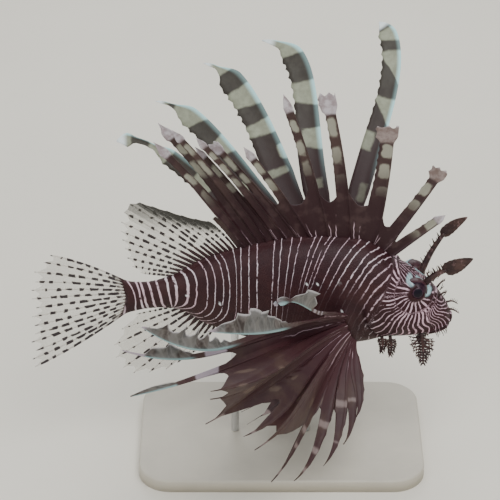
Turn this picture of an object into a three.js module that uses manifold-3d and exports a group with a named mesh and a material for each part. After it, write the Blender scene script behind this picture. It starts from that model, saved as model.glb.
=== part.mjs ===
// A red lionfish as a still, life-size display model, held over a plain base by two short rods.
// Millimetres. +X is towards the snout, +Y the fish's left side, +Z up, and z = 0 is under the base.
import * as THREE from 'three';
import { mergeVertices } from 'three/addons/utils/BufferGeometryUtils.js';
import Module from 'manifold-3d';

const wasm = await Module();
wasm.setup();

// Driving sizes
const GAP = 0.3; // clearance between pieces that touch
const AXIS_HEIGHT = 120; // the body's middle line above the floor
const ROOT_DEPTH = 2; // how far fins, spines and feelers start inside the body before they are trimmed to it
const SECTION_POINTS = 20; // points round one body section
const SECTION_POWER = 2.15; // 2 is an ellipse, more is fuller at the corners

// The body from the tail's end to the snout: place along it, back, belly (from the middle line), half width
const BODY = [
  [-110, 8, -19, 3.4],
  [-104, 6, -16.5, 3.9],
  [-91, 6, -13.5, 5.2],
  [-78, 10, -13, 7.6],
  [-68, 15.5, -16, 9.3],
  [-58, 21.5, -23, 11],
  [-45, 27, -29, 13.2],
  [-32, 31, -33.5, 15.2],
  [-10, 37, -39, 18],
  [8, 39.2, -40, 19.8],
  [30, 39.3, -39.5, 20.8],
  [50, 36, -36.5, 21.8],
  [62, 28.5, -33, 21.6],
  [72, 20.5, -32.3, 20.4],
  [81, 15.5, -32, 18.2],
  [90, 8, -31, 15.2],
  [96, 1, -30.5, 12.6],
  [100.5, -5, -29.3, 10.2],
  [104, -11, -27.3, 7.4],
  [106, -16, -23.5, 3.6],
];
const TRUNK_STEP = 7.5; // between body sections behind the head
const HEAD_STEP = 4; // between body sections of the head
const HEAD_START = 55;

// Where the body is parted. The gill cover's rear edge is part of the head's own line.
const TAIL_STOCK_X = -62;
const HEAD_LINE = [[66, 60], [60, 30], [56, 15], [49, 6], [46, -3], [48, -14], [55, -26], [61, -36], [64, -60]];
const GILL_COVER = [
  [66, 11], [57, 8], [50, 2], [47.5, -5], [50, -14], [56, -23], [63, -27.5], [67, -21], [68, -9], [68.5, 2],
];
const GILL_COVER_DEPTH = 12; // the plates start this far from the middle plane
const JAW_LINE = [[112, -20.5], [104, -22.5], [97, -25], [90.5, -26.8], [86, -30], [83, -40]];

const EYE = { x: 81.6, y: 11.6, z: 7, radius: 8 };
const LID = { ring: 8.1, thickness: 1.35 };
const NOSTRIL = { x: 97.5, angle: 52, radius: 1.1 };
const LIP = { radius: 1.5, frontX: 105.2, cornerX: 90, frontZ: -22, cornerZ: -26.5, above: 1.3, below: -1.5 };
const NAPE_BUMPS = [[60, 26, 3.2], [65.5, 24, 2.8], [71, 21, 2.4]]; // place along, degrees from upright, height

// Pectoral fins. Rays count from the top. Sweep is towards the tail, lift is above level, in degrees.
const PECTORAL_TOP = { x: 36, z: -7 };
const PECTORAL_BOTTOM = { x: 42, z: -27 };
const PECTORAL_LENGTHS = [184, 186, 186, 186, 184, 152, 142, 134, 118, 122, 114, 105, 90, 73, 55];
const RIGHT_SWEEP = [18, 31, 47, 51, 48, 36, 39, 44, 37, 32, 35, 30, 18, 8, -1];
const RIGHT_LIFT = [32, 25, 21, 15, 7, 10, 6, -5, -11, -12, -36, -43, -44, -45, -44];
const LEFT_SWEEP = [-12, 22, 39, 52, 68, 50, 45, 40, 37, 35, 30, 25, 20, 15, 10];
const LEFT_LIFT = [47, 39, 36, 29, 26, -18, -23, -28, -30, -33, -38, -43, -48, -53, -58];
const RIGHT_JOINED = [0.3, 0.3, 0.38, 0.62, 0.75, 0.88, 0.88, 0.88, 0.8, 0.66, 0.52, 0.58, 0.62, 0.8];
const LEFT_JOINED = [0.3, 0.3, 0.32, 0.36, 0.5, 0.62, 0.7, 0.7, 0.7, 0.66, 0.6, 0.66, 0.7, 0.72];
const PECTORAL_BOW = 0.06; // how far a ray bulges forward before its tip hooks back, as a share of its length
const RIGHT_DROOP = [0.02, -0.002, 0.06, 0.022, -0.03, -0.005, 0, -0.045, 0, -0.02]; // the same, downwards
const LEFT_CURL = [[3, 3], [9, 5], [2, 4], [2, 3], [2, 6]]; // forward and up just before the tip, upper rays
const RIGHT_CURL = [[0, 7]]; // the same for the right fin, where only the first ray curls
const LEFT_FEATHERS = [
  [6, 8], [7.4, 10], [7.6, 11.5], [6.4, 9], [5.4, 7.5],
]; // half widths of the left fin's upper rays, front and rear
const FEATHER_TAPER = 0.82; // where a feather starts to narrow towards its tip
const RIGHT_LEAVES = [[0.68, 9], [0.52, 15], [0.6, 15], [0.74, 8], [0.84, 3]]; // where each starts, its height
const RIGHT_SHAFT = 2.2; // half width of a long upper ray before its leaf
const LOWER_RAY_HALF_WIDTH = 4.4;
const PECTORAL_ROWS = 9;
const FLESHY_BASE = { thickness: 5, reach: 14 };

// Dorsal spines from front to back: root along the body, tip along, tip height, lean to the left side,
// width of the shaft with its membrane, width of the flag at the tip
const DORSAL_SPINES = [
  [63, 100, 55, 2, 5.5, 6],
  [58, 97, 90, 1, 9, 12.5],
  [51, 62, 120, 3, 12, 16],
  [37, 21.5, 146, -2, 9, 11],
  [23, -5, 141, 3, 7.5, 6.5],
  [12, -30, 107, -3, 6.5, 6.5],
  [4, -51, 108, 3, 6.5, 8],
  [-3, -60, 113, -2, 5.5, 5.5],
  [-10, -61, 104, 3, 5.5, 5.5],
  [-15, -75, 119, -3, 6, 6.5],
  [-20, -84, 121, 3, 6.5, 8.5],
  [-25, -87, 110, -2, 6, 7],
  [-29.5, -50, 55, 1, 5, 5],
];
const DORSAL_JOINED = [0.22, 0.2, 0.29, 0.29, 0.33, 0.43, 0.5, 0.5, 0.46, 0.46, 0.46, 0.5];
const SPINE_THICKNESS = 2.6;
const SPINE_ROWS = 8;
const SPINE_BOW = 0.02; // how far a spine bends, as a share of its height and reach
const FLAG_START = 0.72; // where the flag at a spine's tip begins

// Fins in the middle plane: first and last root, then the tips from front to back (or top to bottom)
const SOFT_DORSAL = {
  from: -36.5, to: -74,
  tips: [
    [-101, 65], [-105, 60], [-109, 52], [-109, 44.5], [-106.5, 37.5], [-105.5, 31], [-104.5, 26],
    [-104, 21.5], [-101, 17], [-97, 13.5],
  ],
  bulge: 22, // how far the first ray arches up
};
const ANAL_FIN = {
  from: -48, to: -73,
  tips: [
    [-66, -50], [-76, -58], [-84.5, -63], [-98, -65], [-108, -64], [-114, -56], [-117, -46], [-112, -32],
    [-101, -19],
  ],
};
const TAIL_FIN = {
  top: 7, bottom: -18,
  tips: [
    [-156, 26], [-163, 19], [-167, 9], [-169, 1], [-168.5, -7], [-168, -15], [-168.5, -23], [-168.5, -30],
    [-169, -37], [-168.5, -44], [-167, -50],
  ],
  lean: -16, // the lower lobe's tip stands out to the right
};
const SOFT_RAY = { halfWidth: 0.9, thickness: 1.3, membrane: 0.55, rows: 6 };

const PELVIC = {
  root: [[37, -38], [30, -39.5]], side: 7,
  tips: [[12, -84], [-6, -93], [-20, -97], [-28, -96], [-32, -88], [-22, -70]],
  spread: 25,
};

// Feelers: places are [along, out from the middle plane, above the middle line]
const BROW_STEM = {
  right: [[85.5, 7.5, 7], [94, 10, 17], [101.5, 11, 21.5], [118, 12, 30.5]],
  left: [[85.5, 7.5, 7], [93, 12, 22], [101, 15, 34], [116, 17, 45]],
}; // the last stretch is the leaf
const BROW_LEAF_HALF_WIDTH = 4.6;
const BARBELS = [
  { root: [86.5, 10.5, -27], tip: [88.5, 14, -49], branches: 6, branchLength: 5.5 },
  { root: [66, 14.5, -27], tip: [66.5, 18, -39], branches: 3, branchLength: 3 },
  { root: [60.5, 14, -27], tip: [60.5, 17.5, -36.5], branches: 3, branchLength: 2.6 },
];
const SNOUT_FEELER = [[103, 4, -12], [107.5, 5.5, -12], [111.5, 6, -14.5]];
const NASAL_FEELER = [[97, 6, -2], [100, 7, 1.5], [102.5, 7.5, 2.5]];

// Stand
const BASE = { length: 190, width: 120, thickness: 9, corner: 22, middle: -5 };
const RODS = { front: 12, back: -36, radius: 2.6 };

// Colours
const MAROON = new THREE.MeshStandardMaterial({ color: 0x3e242a, roughness: 0.55, metalness: 0 });
const BANDED = new THREE.MeshStandardMaterial({ color: 0x50403a, roughness: 0.5, metalness: 0 });
const CLEAR_FIN = new THREE.MeshStandardMaterial({ color: 0x9c9687, roughness: 0.45, metalness: 0 });
const FEATHER = new THREE.MeshStandardMaterial({ color: 0x565048, roughness: 0.5, metalness: 0 });
const EYE_DARK = new THREE.MeshStandardMaterial({ color: 0x1c1420, roughness: 0.08, metalness: 0 });
const BASE_FINISH = new THREE.MeshStandardMaterial({ color: 0xb9b2a4, roughness: 0.6, metalness: 0 });
const STEEL = new THREE.MeshStandardMaterial({ color: 0xb5b7ba, roughness: 0.3, metalness: 1 });

const vec = (x, y, z) => new THREE.Vector3(x, y, z);
const radians = THREE.MathUtils.degToRad;
const lerp = THREE.MathUtils.lerp;
const clamp = THREE.MathUtils.clamp;

// A value of a table at a place, on a smooth curve through the table's rows
function smooth(table, place, column) {
  let i = 0;
  while (i < table.length - 2 && table[i + 1][0] < place) i += 1;
  const slope = (a, b) => (table[b][column] - table[a][column]) / (table[b][0] - table[a][0]);
  const width = table[i + 1][0] - table[i][0];
  const t = clamp((place - table[i][0]) / width, 0, 1);
  const m0 = i > 0 ? slope(i - 1, i + 1) : slope(i, i + 1);
  const m1 = i < table.length - 2 ? slope(i, i + 2) : slope(i, i + 1);
  const h = t * t * (3 - 2 * t);
  const blend = table[i][column] * (1 - h) + table[i + 1][column] * h;
  return blend + width * (t * (1 - t) ** 2 * m0 - t * t * (1 - t) * m1);
}

function section(x) {
  const back = smooth(BODY, x, 1);
  const belly = smooth(BODY, x, 2);
  return { middle: (back + belly) / 2, half: (back - belly) / 2, width: smooth(BODY, x, 3), back, belly };
}

// How far the flank is from the middle plane at a place and height
function flank(x, z) {
  const s = section(x);
  const rise = clamp(Math.abs(z - s.middle) / s.half, 0, 1);
  return s.width * (1 - rise ** SECTION_POWER) ** (1 / SECTION_POWER);
}

function bodyPoint(x, angle, grow) {
  const s = section(x);
  const power = 2 / SECTION_POWER;
  const across = Math.sign(Math.sin(angle)) * Math.abs(Math.sin(angle)) ** power;
  const up = Math.sign(Math.cos(angle)) * Math.abs(Math.cos(angle)) ** power;
  return vec(x, (s.width + grow) * across, s.middle + (s.half + grow) * up);
}

function geometryFrom(points, triangles) {
  const geometry = new THREE.BufferGeometry();
  const positions = new Float32Array(points.flatMap((p) => [p.x, p.y, p.z]));
  geometry.setAttribute('position', new THREE.BufferAttribute(positions, 3));
  geometry.setIndex(triangles);
  return geometry;
}

function toSolid(geometry) {
  const bare = geometry.clone();
  bare.deleteAttribute('normal');
  bare.deleteAttribute('uv');
  const merged = mergeVertices(bare, 1e-4);
  return new wasm.Manifold(new wasm.Mesh({
    numProp: 3,
    vertProperties: merged.attributes.position.array,
    triVerts: Uint32Array.from(merged.index.array),
  }));
}

// The largest closed surface of a solid
function toGeometry(solid) {
  const pieces = solid.decompose().sort((a, b) => b.volume() - a.volume());
  const mesh = pieces[0].getMesh();
  const geometry = new THREE.BufferGeometry();
  geometry.setAttribute('position', new THREE.BufferAttribute(Float32Array.from(mesh.vertProperties), 3));
  geometry.setIndex(new THREE.BufferAttribute(Uint32Array.from(mesh.triVerts), 1));
  geometry.computeVertexNormals();
  return geometry;
}

// Rings of points joined into one closed skin, with a fan over each end
function loft(rings) {
  const size = rings[0].length;
  const points = rings.flat();
  const triangles = [];
  for (let i = 0; i < rings.length - 1; i += 1) {
    for (let j = 0; j < size; j += 1) {
      const next = (j + 1) % size;
      const [a, b] = [i * size + j, i * size + next];
      const [c, d] = [a + size, b + size];
      triangles.push(a, b, d, a, d, c);
    }
  }
  for (const end of [0, rings.length - 1]) {
    const ring = rings[end];
    const hub = points.length;
    points.push(ring.reduce((sum, p) => sum.add(p), vec(0, 0, 0)).divideScalar(size));
    for (let j = 0; j < size; j += 1) {
      const [a, b] = [end * size + j, end * size + ((j + 1) % size)];
      if (end === 0) triangles.push(b, a, hub);
      else triangles.push(a, b, hub);
    }
  }
  return toSolid(geometryFrom(points, triangles));
}

// A tapered bar along a curve. wide and thick are half sizes as functions of the share of its length.
function sweep(route, wide, thick, across, steps, sides) {
  const curve = new THREE.CatmullRomCurve3(route);
  const rings = [];
  for (let i = 0; i <= steps; i += 1) {
    const t = i / steps;
    const middle = curve.getPoint(t);
    const along = curve.getTangent(t);
    const side = across.clone().addScaledVector(along, -across.dot(along)).normalize();
    const up = new THREE.Vector3().crossVectors(along, side);
    const ring = [];
    for (let j = 0; j < sides; j += 1) {
      const angle = (2 * Math.PI * j) / sides;
      ring.push(middle.clone()
        .addScaledVector(side, wide(t) * Math.cos(angle))
        .addScaledVector(up, thick(t) * Math.sin(angle)));
    }
    rings.push(ring);
  }
  return loft(rings);
}

function bodySolid(grow) {
  const places = [];
  for (let x = BODY[0][0]; x < HEAD_START; x += TRUNK_STEP) places.push(x);
  const end = BODY[BODY.length - 1][0];
  const count = Math.round((end - HEAD_START) / HEAD_STEP);
  for (let i = 0; i <= count; i += 1) places.push(lerp(HEAD_START, end, i / count));
  const last = places.length - 1;
  return loft(places.map((x, row) => {
    const ring = [];
    for (let j = 0; j < SECTION_POINTS; j += 1) {
      const point = bodyPoint(x, (-2 * Math.PI * j) / SECTION_POINTS, grow);
      if (row === 0) point.x -= grow;
      if (row === last) point.x += grow;
      ring.push(point);
    }
    return ring;
  }));
}

// A flat outline in the middle plane, moved out by grow and carried from one side plane to another
function prism(outline, grow, low, high) {
  const count = outline.length;
  const area = outline.reduce((sum, [x, z], i) => {
    const [nextX, nextZ] = outline[(i + 1) % count];
    return sum + x * nextZ - nextX * z;
  }, 0);
  const turn = Math.sign(area);
  const shape = new THREE.Shape(outline.map(([x, z], i) => {
    const [beforeX, beforeZ] = outline[(i + count - 1) % count];
    const [afterX, afterZ] = outline[(i + 1) % count];
    const normal = new THREE.Vector2(afterZ - beforeZ, beforeX - afterX).normalize();
    return new THREE.Vector2(x + turn * grow * normal.x, z + turn * grow * normal.y);
  }));
  const geometry = new THREE.ExtrudeGeometry(shape, { depth: high - low, bevelEnabled: false, steps: 1 });
  geometry.rotateX(Math.PI / 2);
  geometry.translate(0, high, 0);
  return toSolid(geometry);
}

// A smooth closed outline through a few points
function rounded(outline, count) {
  const curve = new THREE.CatmullRomCurve3(outline.map(([x, z]) => vec(x, 0, z)), true);
  return curve.getSpacedPoints(count).slice(0, count).map((p) => [p.x, p.z]);
}

const bodyGrown = bodySolid(GAP);

// A fin made of rays side by side. Each ray is a row of places from root to tip. Between two rays the
// membrane reaches the share given by joined, and past it each ray goes on alone.
// width and thick are a ray's half widths on its two sides and its thickness, by ray and share of length.
function fin({ rays, joined, width, thick, membrane }) {
  const rows = rays[0].length;
  const columns = 3 * rays.length;
  const front = [];
  const back = [];
  rays.forEach((ray, k) => {
    const before = rays[Math.max(k - 1, 0)];
    const after = rays[Math.min(k + 1, rays.length - 1)];
    ray.forEach((place, row) => {
      const t = row / (rows - 1);
      const along = ray[Math.min(row + 1, rows - 1)].clone().sub(ray[Math.max(row - 1, 0)]).normalize();
      const across = after[row].clone().sub(before[row]);
      across.addScaledVector(along, -across.dot(along)).normalize();
      const normal = new THREE.Vector3().crossVectors(along, across);
      const [less, more] = width(k, t);
      const room = (other, wider) => (wider ? 0.58 : 0.34) * other[row].distanceTo(place);
      const left = k > 0 ? Math.min(less, room(before, less > more)) : less;
      const right = k < rays.length - 1 ? Math.min(more, room(after, less <= more)) : more;
      const places = [[-left, membrane(k, t)], [0, thick(k, t)], [right, membrane(k, t)]];
      for (const [shift, depth] of places) {
        const middle = place.clone().addScaledVector(across, shift);
        front.push(middle.clone().addScaledVector(normal, depth / 2));
        back.push(middle.clone().addScaledVector(normal, -depth / 2));
      }
    });
  });
  const at = (column, row) => (Math.floor(column / 3) * rows + row) * 3 + (column % 3);
  const solidCell = (column, row) => {
    if (column < 0 || row < 0 || column >= columns - 1 || row >= rows - 1) return false;
    return column % 3 !== 2 || (row + 1) / (rows - 1) <= joined[Math.floor(column / 3)] + 1e-9 || row === 0;
  };
  const shift = front.length;
  const triangles = [];
  for (let column = 0; column < columns - 1; column += 1) {
    for (let row = 0; row < rows - 1; row += 1) {
      if (!solidCell(column, row)) continue;
      const [a, b] = [at(column, row), at(column + 1, row)];
      const [c, d] = [at(column, row + 1), at(column + 1, row + 1)];
      triangles.push(a, d, b, a, c, d);
      triangles.push(a + shift, b + shift, d + shift, a + shift, d + shift, c + shift);
      const wall = (p, q) => triangles.push(p, q, q + shift, p, q + shift, p + shift);
      if (!solidCell(column, row - 1)) wall(a, b);
      if (!solidCell(column, row + 1)) wall(d, c);
      if (!solidCell(column - 1, row)) wall(c, a);
      if (!solidCell(column + 1, row)) wall(b, d);
    }
  }
  const solid = toSolid(geometryFrom([...front, ...back], triangles));
  return solid.volume() > 0 ? solid : toSolid(geometryFrom([...front, ...back], turned(triangles)));
}

function turned(triangles) {
  const result = [];
  for (let i = 0; i < triangles.length; i += 3) result.push(triangles[i], triangles[i + 2], triangles[i + 1]);
  return result;
}

const arch = (t) => 4 * t * (1 - t);

// A ray as places from its root to its tip, off the straight line by a bulge
function bowed(root, tip, bulge, rows, form = arch) {
  const places = [];
  for (let row = 0; row < rows; row += 1) {
    const t = row / (rows - 1);
    places.push(root.clone().lerp(tip, t).addScaledVector(bulge, form(t)));
  }
  return places;
}

// The share of its bulge that a ray shows at t: most near the end, none at the tip
const hook = (t) => 9.5 * t ** 3 * (1 - t);

// The share of its curl that a ray shows at t: most just before the tip
const curl = (t) => 2.1 * t ** 4 * (1 - t ** 12);

function pectoralRays(side, sweeps, lifts, droops, curls) {
  const last = PECTORAL_LENGTHS.length - 1;
  return PECTORAL_LENGTHS.map((length, k) => {
    const x = lerp(PECTORAL_TOP.x, PECTORAL_BOTTOM.x, k / last);
    const z = lerp(PECTORAL_TOP.z, PECTORAL_BOTTOM.z, k / last);
    const root = vec(x, side * (flank(x, z) - ROOT_DEPTH), z);
    const sweepAngle = radians(sweeps[k]);
    const lift = radians(lifts[k]);
    const level = vec(-Math.sin(sweepAngle), side * Math.cos(sweepAngle), 0);
    const aim = level.clone().multiplyScalar(Math.cos(lift)).add(vec(0, 0, Math.sin(lift)));
    const tip = root.clone().addScaledVector(aim, length);
    const forwards = vec(Math.cos(sweepAngle), side * Math.sin(sweepAngle), 0);
    const bulge = forwards.multiplyScalar(PECTORAL_BOW * length);
    bulge.z -= (droops[k] ?? 0) * length;
    const [forward, up] = curls[k] ?? [0, 0];
    const ray = bowed(root, tip, bulge, PECTORAL_ROWS, hook);
    ray.forEach((place, row) => place.addScaledVector(vec(forward, 0, up), curl(row / (PECTORAL_ROWS - 1))));
    return ray;
  });
}

// A pectoral ray widens over the first third of its length
const swell = (t) => clamp(t / 0.35, 0.25, 1);

function pectoralFin(rays, joined, upperWidth) {
  const lower = (t) => LOWER_RAY_HALF_WIDTH * swell(t) * (1 - 0.9 * clamp(2 * t - 1, 0, 1) ** 1.3);
  const flesh = (k, t) => {
    const fromRoot = t * PECTORAL_LENGTHS[k];
    return FLESHY_BASE.thickness * Math.max(0, 1 - fromRoot / FLESHY_BASE.reach);
  };
  return fin({
    rays,
    joined,
    width: (k, t) => (k < LEFT_FEATHERS.length ? upperWidth(k, t) : [lower(t), lower(t)]),
    thick: (k, t) => lerp(1.9, 0.6, t) + flesh(k, t),
    membrane: (k, t) => lerp(0.7, 0.5, t) + flesh(k, t),
  }).subtract(bodyGrown);
}

// The left fin's upper rays are feathers of an even width
function leftPectoralFin() {
  const rays = pectoralRays(1, LEFT_SWEEP, LEFT_LIFT, [], LEFT_CURL);
  return pectoralFin(rays, LEFT_JOINED, (k, t) => {
    const end = clamp((t - FEATHER_TAPER) / (1 - FEATHER_TAPER), 0, 1);
    const taper = swell(t) * (1 - 0.94 * end ** 1.5);
    return LEFT_FEATHERS[k].map((half) => half * taper);
  });
}

// The right fin's upper rays are thin shafts, each with a leaf above it towards the tip
function rightPectoralFin() {
  const rays = pectoralRays(-1, RIGHT_SWEEP, RIGHT_LIFT, RIGHT_DROOP, RIGHT_CURL);
  return pectoralFin(rays, RIGHT_JOINED, (k, t) => {
    const [start, height] = RIGHT_LEAVES[k];
    const shaft = RIGHT_SHAFT * clamp(t / 0.2, 0.4, 1) * lerp(1, 0.3, t ** 4);
    const share = clamp((t - start) / (1 - start), 0, 1);
    return [Math.max(shaft, height * Math.sin(Math.PI * share ** 0.85) ** 0.7), shaft];
  });
}

function spinyDorsalFin() {
  const rays = DORSAL_SPINES.map(([rootX, tipX, tipZ, lean]) => {
    const root = vec(rootX, 0, section(rootX).back - ROOT_DEPTH);
    const tip = vec(tipX, lean, tipZ);
    const bulge = vec(SPINE_BOW * (tipZ - root.z), 0, SPINE_BOW * Math.abs(tipX - rootX));
    return bowed(root, tip, bulge, SPINE_ROWS);
  });
  const blade = (k, t) => {
    const [shaft, flag] = DORSAL_SPINES[k].slice(4);
    const share = Math.max(0, (t - FLAG_START) / (1 - FLAG_START));
    const end = Math.sin(share * Math.PI * 0.85);
    return lerp(shaft * lerp(1, 0.75, t), flag, clamp(end, 0, 1));
  };
  return fin({
    rays,
    joined: DORSAL_JOINED,
    width: (k, t) => [0.42 * blade(k, t), 0.58 * blade(k, t)],
    thick: (k, t) => lerp(SPINE_THICKNESS, 0.7, t),
    membrane: (k, t) => lerp(0.8, 0.5, t),
  }).subtract(bodyGrown);
}

function softFin(roots, tips, bulge, form = arch) {
  const rays = tips.map((tip, k) => bowed(roots[k], tip, bulge(k), SOFT_RAY.rows, form));
  const solid = fin({
    rays,
    joined: tips.map(() => 1),
    width: (k, t) => [SOFT_RAY.halfWidth * lerp(1, 0.45, t), SOFT_RAY.halfWidth * lerp(1, 0.45, t)],
    thick: (k, t) => lerp(SOFT_RAY.thickness, 0.6, t),
    membrane: () => SOFT_RAY.membrane,
  });
  return solid.subtract(bodyGrown);
}

function softDorsalFin() {
  const last = SOFT_DORSAL.tips.length - 1;
  const roots = SOFT_DORSAL.tips.map((tip, k) => {
    const x = lerp(SOFT_DORSAL.from, SOFT_DORSAL.to, k / last);
    return vec(x, 0, section(x).back - ROOT_DEPTH);
  });
  const tips = SOFT_DORSAL.tips.map(([x, z]) => vec(x, 0, z));
  const bulge = (k) => vec(0, 0, SOFT_DORSAL.bulge * (1 - k / last) ** 1.5);
  return softFin(roots, tips, bulge, (t) => arch(t) * (1 - t) ** 1.5);
}

function analFin() {
  const last = ANAL_FIN.tips.length - 1;
  const roots = ANAL_FIN.tips.map((tip, k) => {
    const x = lerp(ANAL_FIN.from, ANAL_FIN.to, k / last);
    return vec(x, 0, section(x).belly + ROOT_DEPTH);
  });
  const tips = ANAL_FIN.tips.map(([x, z]) => vec(x, 0, z));
  return softFin(roots, tips, (k) => vec(0, 0, -3).multiplyScalar(1 - k / last));
}

function tailFin() {
  const last = TAIL_FIN.tips.length - 1;
  const start = BODY[0][0] + ROOT_DEPTH;
  const roots = TAIL_FIN.tips.map((tip, k) => vec(start, 0, lerp(TAIL_FIN.top, TAIL_FIN.bottom, k / last)));
  const tips = TAIL_FIN.tips.map(([x, z], k) => vec(x, TAIL_FIN.lean * (k / last) ** 2, z));
  return softFin(roots, tips, (k) => vec(0, 0, 2 * (1 - (2 * k) / last)));
}

function pelvicFin(side) {
  const last = PELVIC.tips.length - 1;
  const [[frontX, frontZ], [backX, backZ]] = PELVIC.root;
  const roots = PELVIC.tips.map((tip, k) => {
    const x = lerp(frontX, backX, k / last);
    return vec(x, side * PELVIC.side, lerp(frontZ, backZ, k / last) + ROOT_DEPTH + 3);
  });
  const tips = PELVIC.tips.map(([x, z], k) => vec(x, side * (PELVIC.spread - 3 * k), z));
  const rays = tips.map((tip, k) => bowed(roots[k], tip, vec(4, 0, -3), SOFT_RAY.rows));
  return fin({
    rays,
    joined: tips.map(() => 1),
    width: () => [0.9, 0.9],
    thick: (k, t) => lerp(1.6, 0.7, t),
    membrane: () => 0.6,
  }).subtract(bodyGrown);
}

function eyeBall(radius, side) {
  const ball = new THREE.SphereGeometry(radius, 16, 10);
  ball.rotateX(Math.PI / 2);
  ball.translate(EYE.x, side * EYE.y, EYE.z);
  return toSolid(ball);
}

function eyeLid(side, grow) {
  const ring = new THREE.TorusGeometry(LID.ring, LID.thickness + grow, 5, 16);
  ring.rotateX(radians(90 + side * 14));
  ring.rotateZ(radians(side * 8));
  ring.translate(EYE.x + 0.5, side * (EYE.y + 2.6), EYE.z + 0.8);
  return toSolid(ring);
}

// Lips follow the mouth's line round the snout, a little above or below it
function lip(above) {
  const route = [];
  for (let i = -5; i <= 5; i += 1) {
    const x = lerp(LIP.frontX, LIP.cornerX, (Math.abs(i) / 5) ** 1.8);
    const z = lerp(LIP.frontZ, LIP.cornerZ, (LIP.frontX - x) / (LIP.frontX - LIP.cornerX)) + above;
    route.push(vec(x, Math.sign(i) * flank(x, z) * 0.97, z));
  }
  const fullness = (t) => LIP.radius * lerp(0.5, 1, Math.sin(Math.PI * t));
  return sweep(route, fullness, fullness, vec(0, 0, 1), 12, 5);
}

function napeBump(x, degrees, height, side) {
  const cone = new THREE.ConeGeometry(height * 0.6, height * 1.8, 6);
  cone.rotateX(Math.PI / 2);
  const place = bodyPoint(x, side * radians(degrees), 0);
  cone.translate(place.x, place.y, place.z);
  return toSolid(cone);
}

function nostril(side) {
  const place = bodyPoint(NOSTRIL.x, side * radians(NOSTRIL.angle), 0);
  const pit = new THREE.SphereGeometry(NOSTRIL.radius, 8, 6);
  pit.translate(place.x, place.y, place.z);
  return toSolid(pit);
}

function box(low, high) {
  const size = high.clone().sub(low);
  const geometry = new THREE.BoxGeometry(size.x, size.y, size.z);
  geometry.translate((low.x + high.x) / 2, (low.y + high.y) / 2, (low.z + high.z) / 2);
  return toSolid(geometry);
}

// The body parted into head, jaw, gill covers, trunk and tail stock
function fleshPieces() {
  const body = bodySolid(0);
  const reach = 60;
  const headOutline = [...HEAD_LINE, [130, -60], [130, 60]];
  const jawOutline = [...JAW_LINE, [112, -40]];
  const headSpace = prism(headOutline, 0, -reach, reach);
  const jawSpace = prism(jawOutline, 0, -reach, reach);
  const jawSpaceGrown = prism(jawOutline, GAP, -reach, reach);
  const gillOutline = rounded(GILL_COVER, 22);
  const gill = { left: [GILL_COVER_DEPTH, reach], right: [-reach, -GILL_COVER_DEPTH] };
  let head = body.intersect(headSpace).add(lip(LIP.above));
  for (const side of [1, -1]) {
    head = head.add(eyeLid(side, 0));
    for (const [x, degrees, height] of NAPE_BUMPS) head = head.add(napeBump(x, degrees, height, side));
  }
  head = head.subtract(jawSpaceGrown);
  for (const side of [1, -1]) head = head.subtract(eyeBall(EYE.radius + GAP, side)).subtract(nostril(side));
  for (const [low, high] of Object.values(gill)) {
    const inner = low > 0 ? [low - GAP, high] : [low, high + GAP];
    head = head.subtract(prism(gillOutline, GAP, ...inner));
  }
  const behind = body.subtract(prism(headOutline, GAP, -reach, reach));
  const tailSpace = box(vec(-130, -reach, -reach), vec(TAIL_STOCK_X, reach, reach));
  const tailSpaceGrown = box(vec(-130, -reach, -reach), vec(TAIL_STOCK_X + GAP, reach, reach));
  return {
    head,
    lower_jaw: body.intersect(jawSpace).add(lip(LIP.below).intersect(jawSpace)),
    gill_cover_left: body.intersect(prism(gillOutline, 0, ...gill.left)),
    gill_cover_right: body.intersect(prism(gillOutline, 0, ...gill.right)),
    trunk: behind.subtract(tailSpaceGrown),
    tail_stock: behind.intersect(tailSpace),
  };
}

const mirrored = (place, side) => vec(place[0], side * place[1], place[2]);

function browTentacle(side, route) {
  const places = route.map((place) => mirrored(place, side));
  const tip = places.pop();
  const end = places[2];
  const aim = tip.clone().sub(end).normalize();
  const stem = sweep(places, (t) => lerp(2.2, 0.9, t), (t) => lerp(2, 0.8, t), vec(0, 1, 0), 5, 6);
  const leafRoute = [end.clone().addScaledVector(aim, -2), end.clone().lerp(tip, 0.5), tip];
  const leafWidth = (t) => 0.4 + BROW_LEAF_HALF_WIDTH * Math.sin(Math.PI * t) ** 0.7;
  const leaf = sweep(leafRoute, leafWidth, () => 0.5, vec(-aim.z, 0, aim.x), 7, 6);
  const eye = eyeLid(side, GAP).add(eyeBall(EYE.radius + GAP, side));
  return stem.add(leaf).subtract(bodyGrown).subtract(eye);
}

function feeler(route, side, thickness) {
  const places = route.map((place) => mirrored(place, side));
  const taper = (t) => lerp(thickness, 0.35, t);
  return sweep(places, taper, taper, vec(0, 1, 0), 4, 4).subtract(bodyGrown);
}

// A barbel like a small fern: a tapered stem with pairs of side branches
function barbel({ root, tip, branches, branchLength }, side) {
  const from = mirrored(root, side);
  const to = mirrored(tip, side);
  const taper = (t) => lerp(1.1, 0.4, t);
  let solid = sweep([from, from.clone().lerp(to, 0.5), to], taper, taper, vec(1, 0, 0), 3, 4);
  for (let i = 0; i < branches; i += 1) {
    const share = lerp(0.28, 0.92, i / (branches - 1));
    const start = from.clone().lerp(to, share);
    const length = branchLength * lerp(1, 0.45, i / (branches - 1));
    for (const way of [1, -1]) {
      const end = start.clone().add(vec(way * length, side * 0.4, -length * 0.45));
      const thin = (t) => lerp(0.6, 0.35, t);
      solid = solid.add(sweep([start, end], thin, thin, vec(0, 1, 0), 1, 3));
    }
  }
  return solid.subtract(bodyGrown);
}

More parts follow.
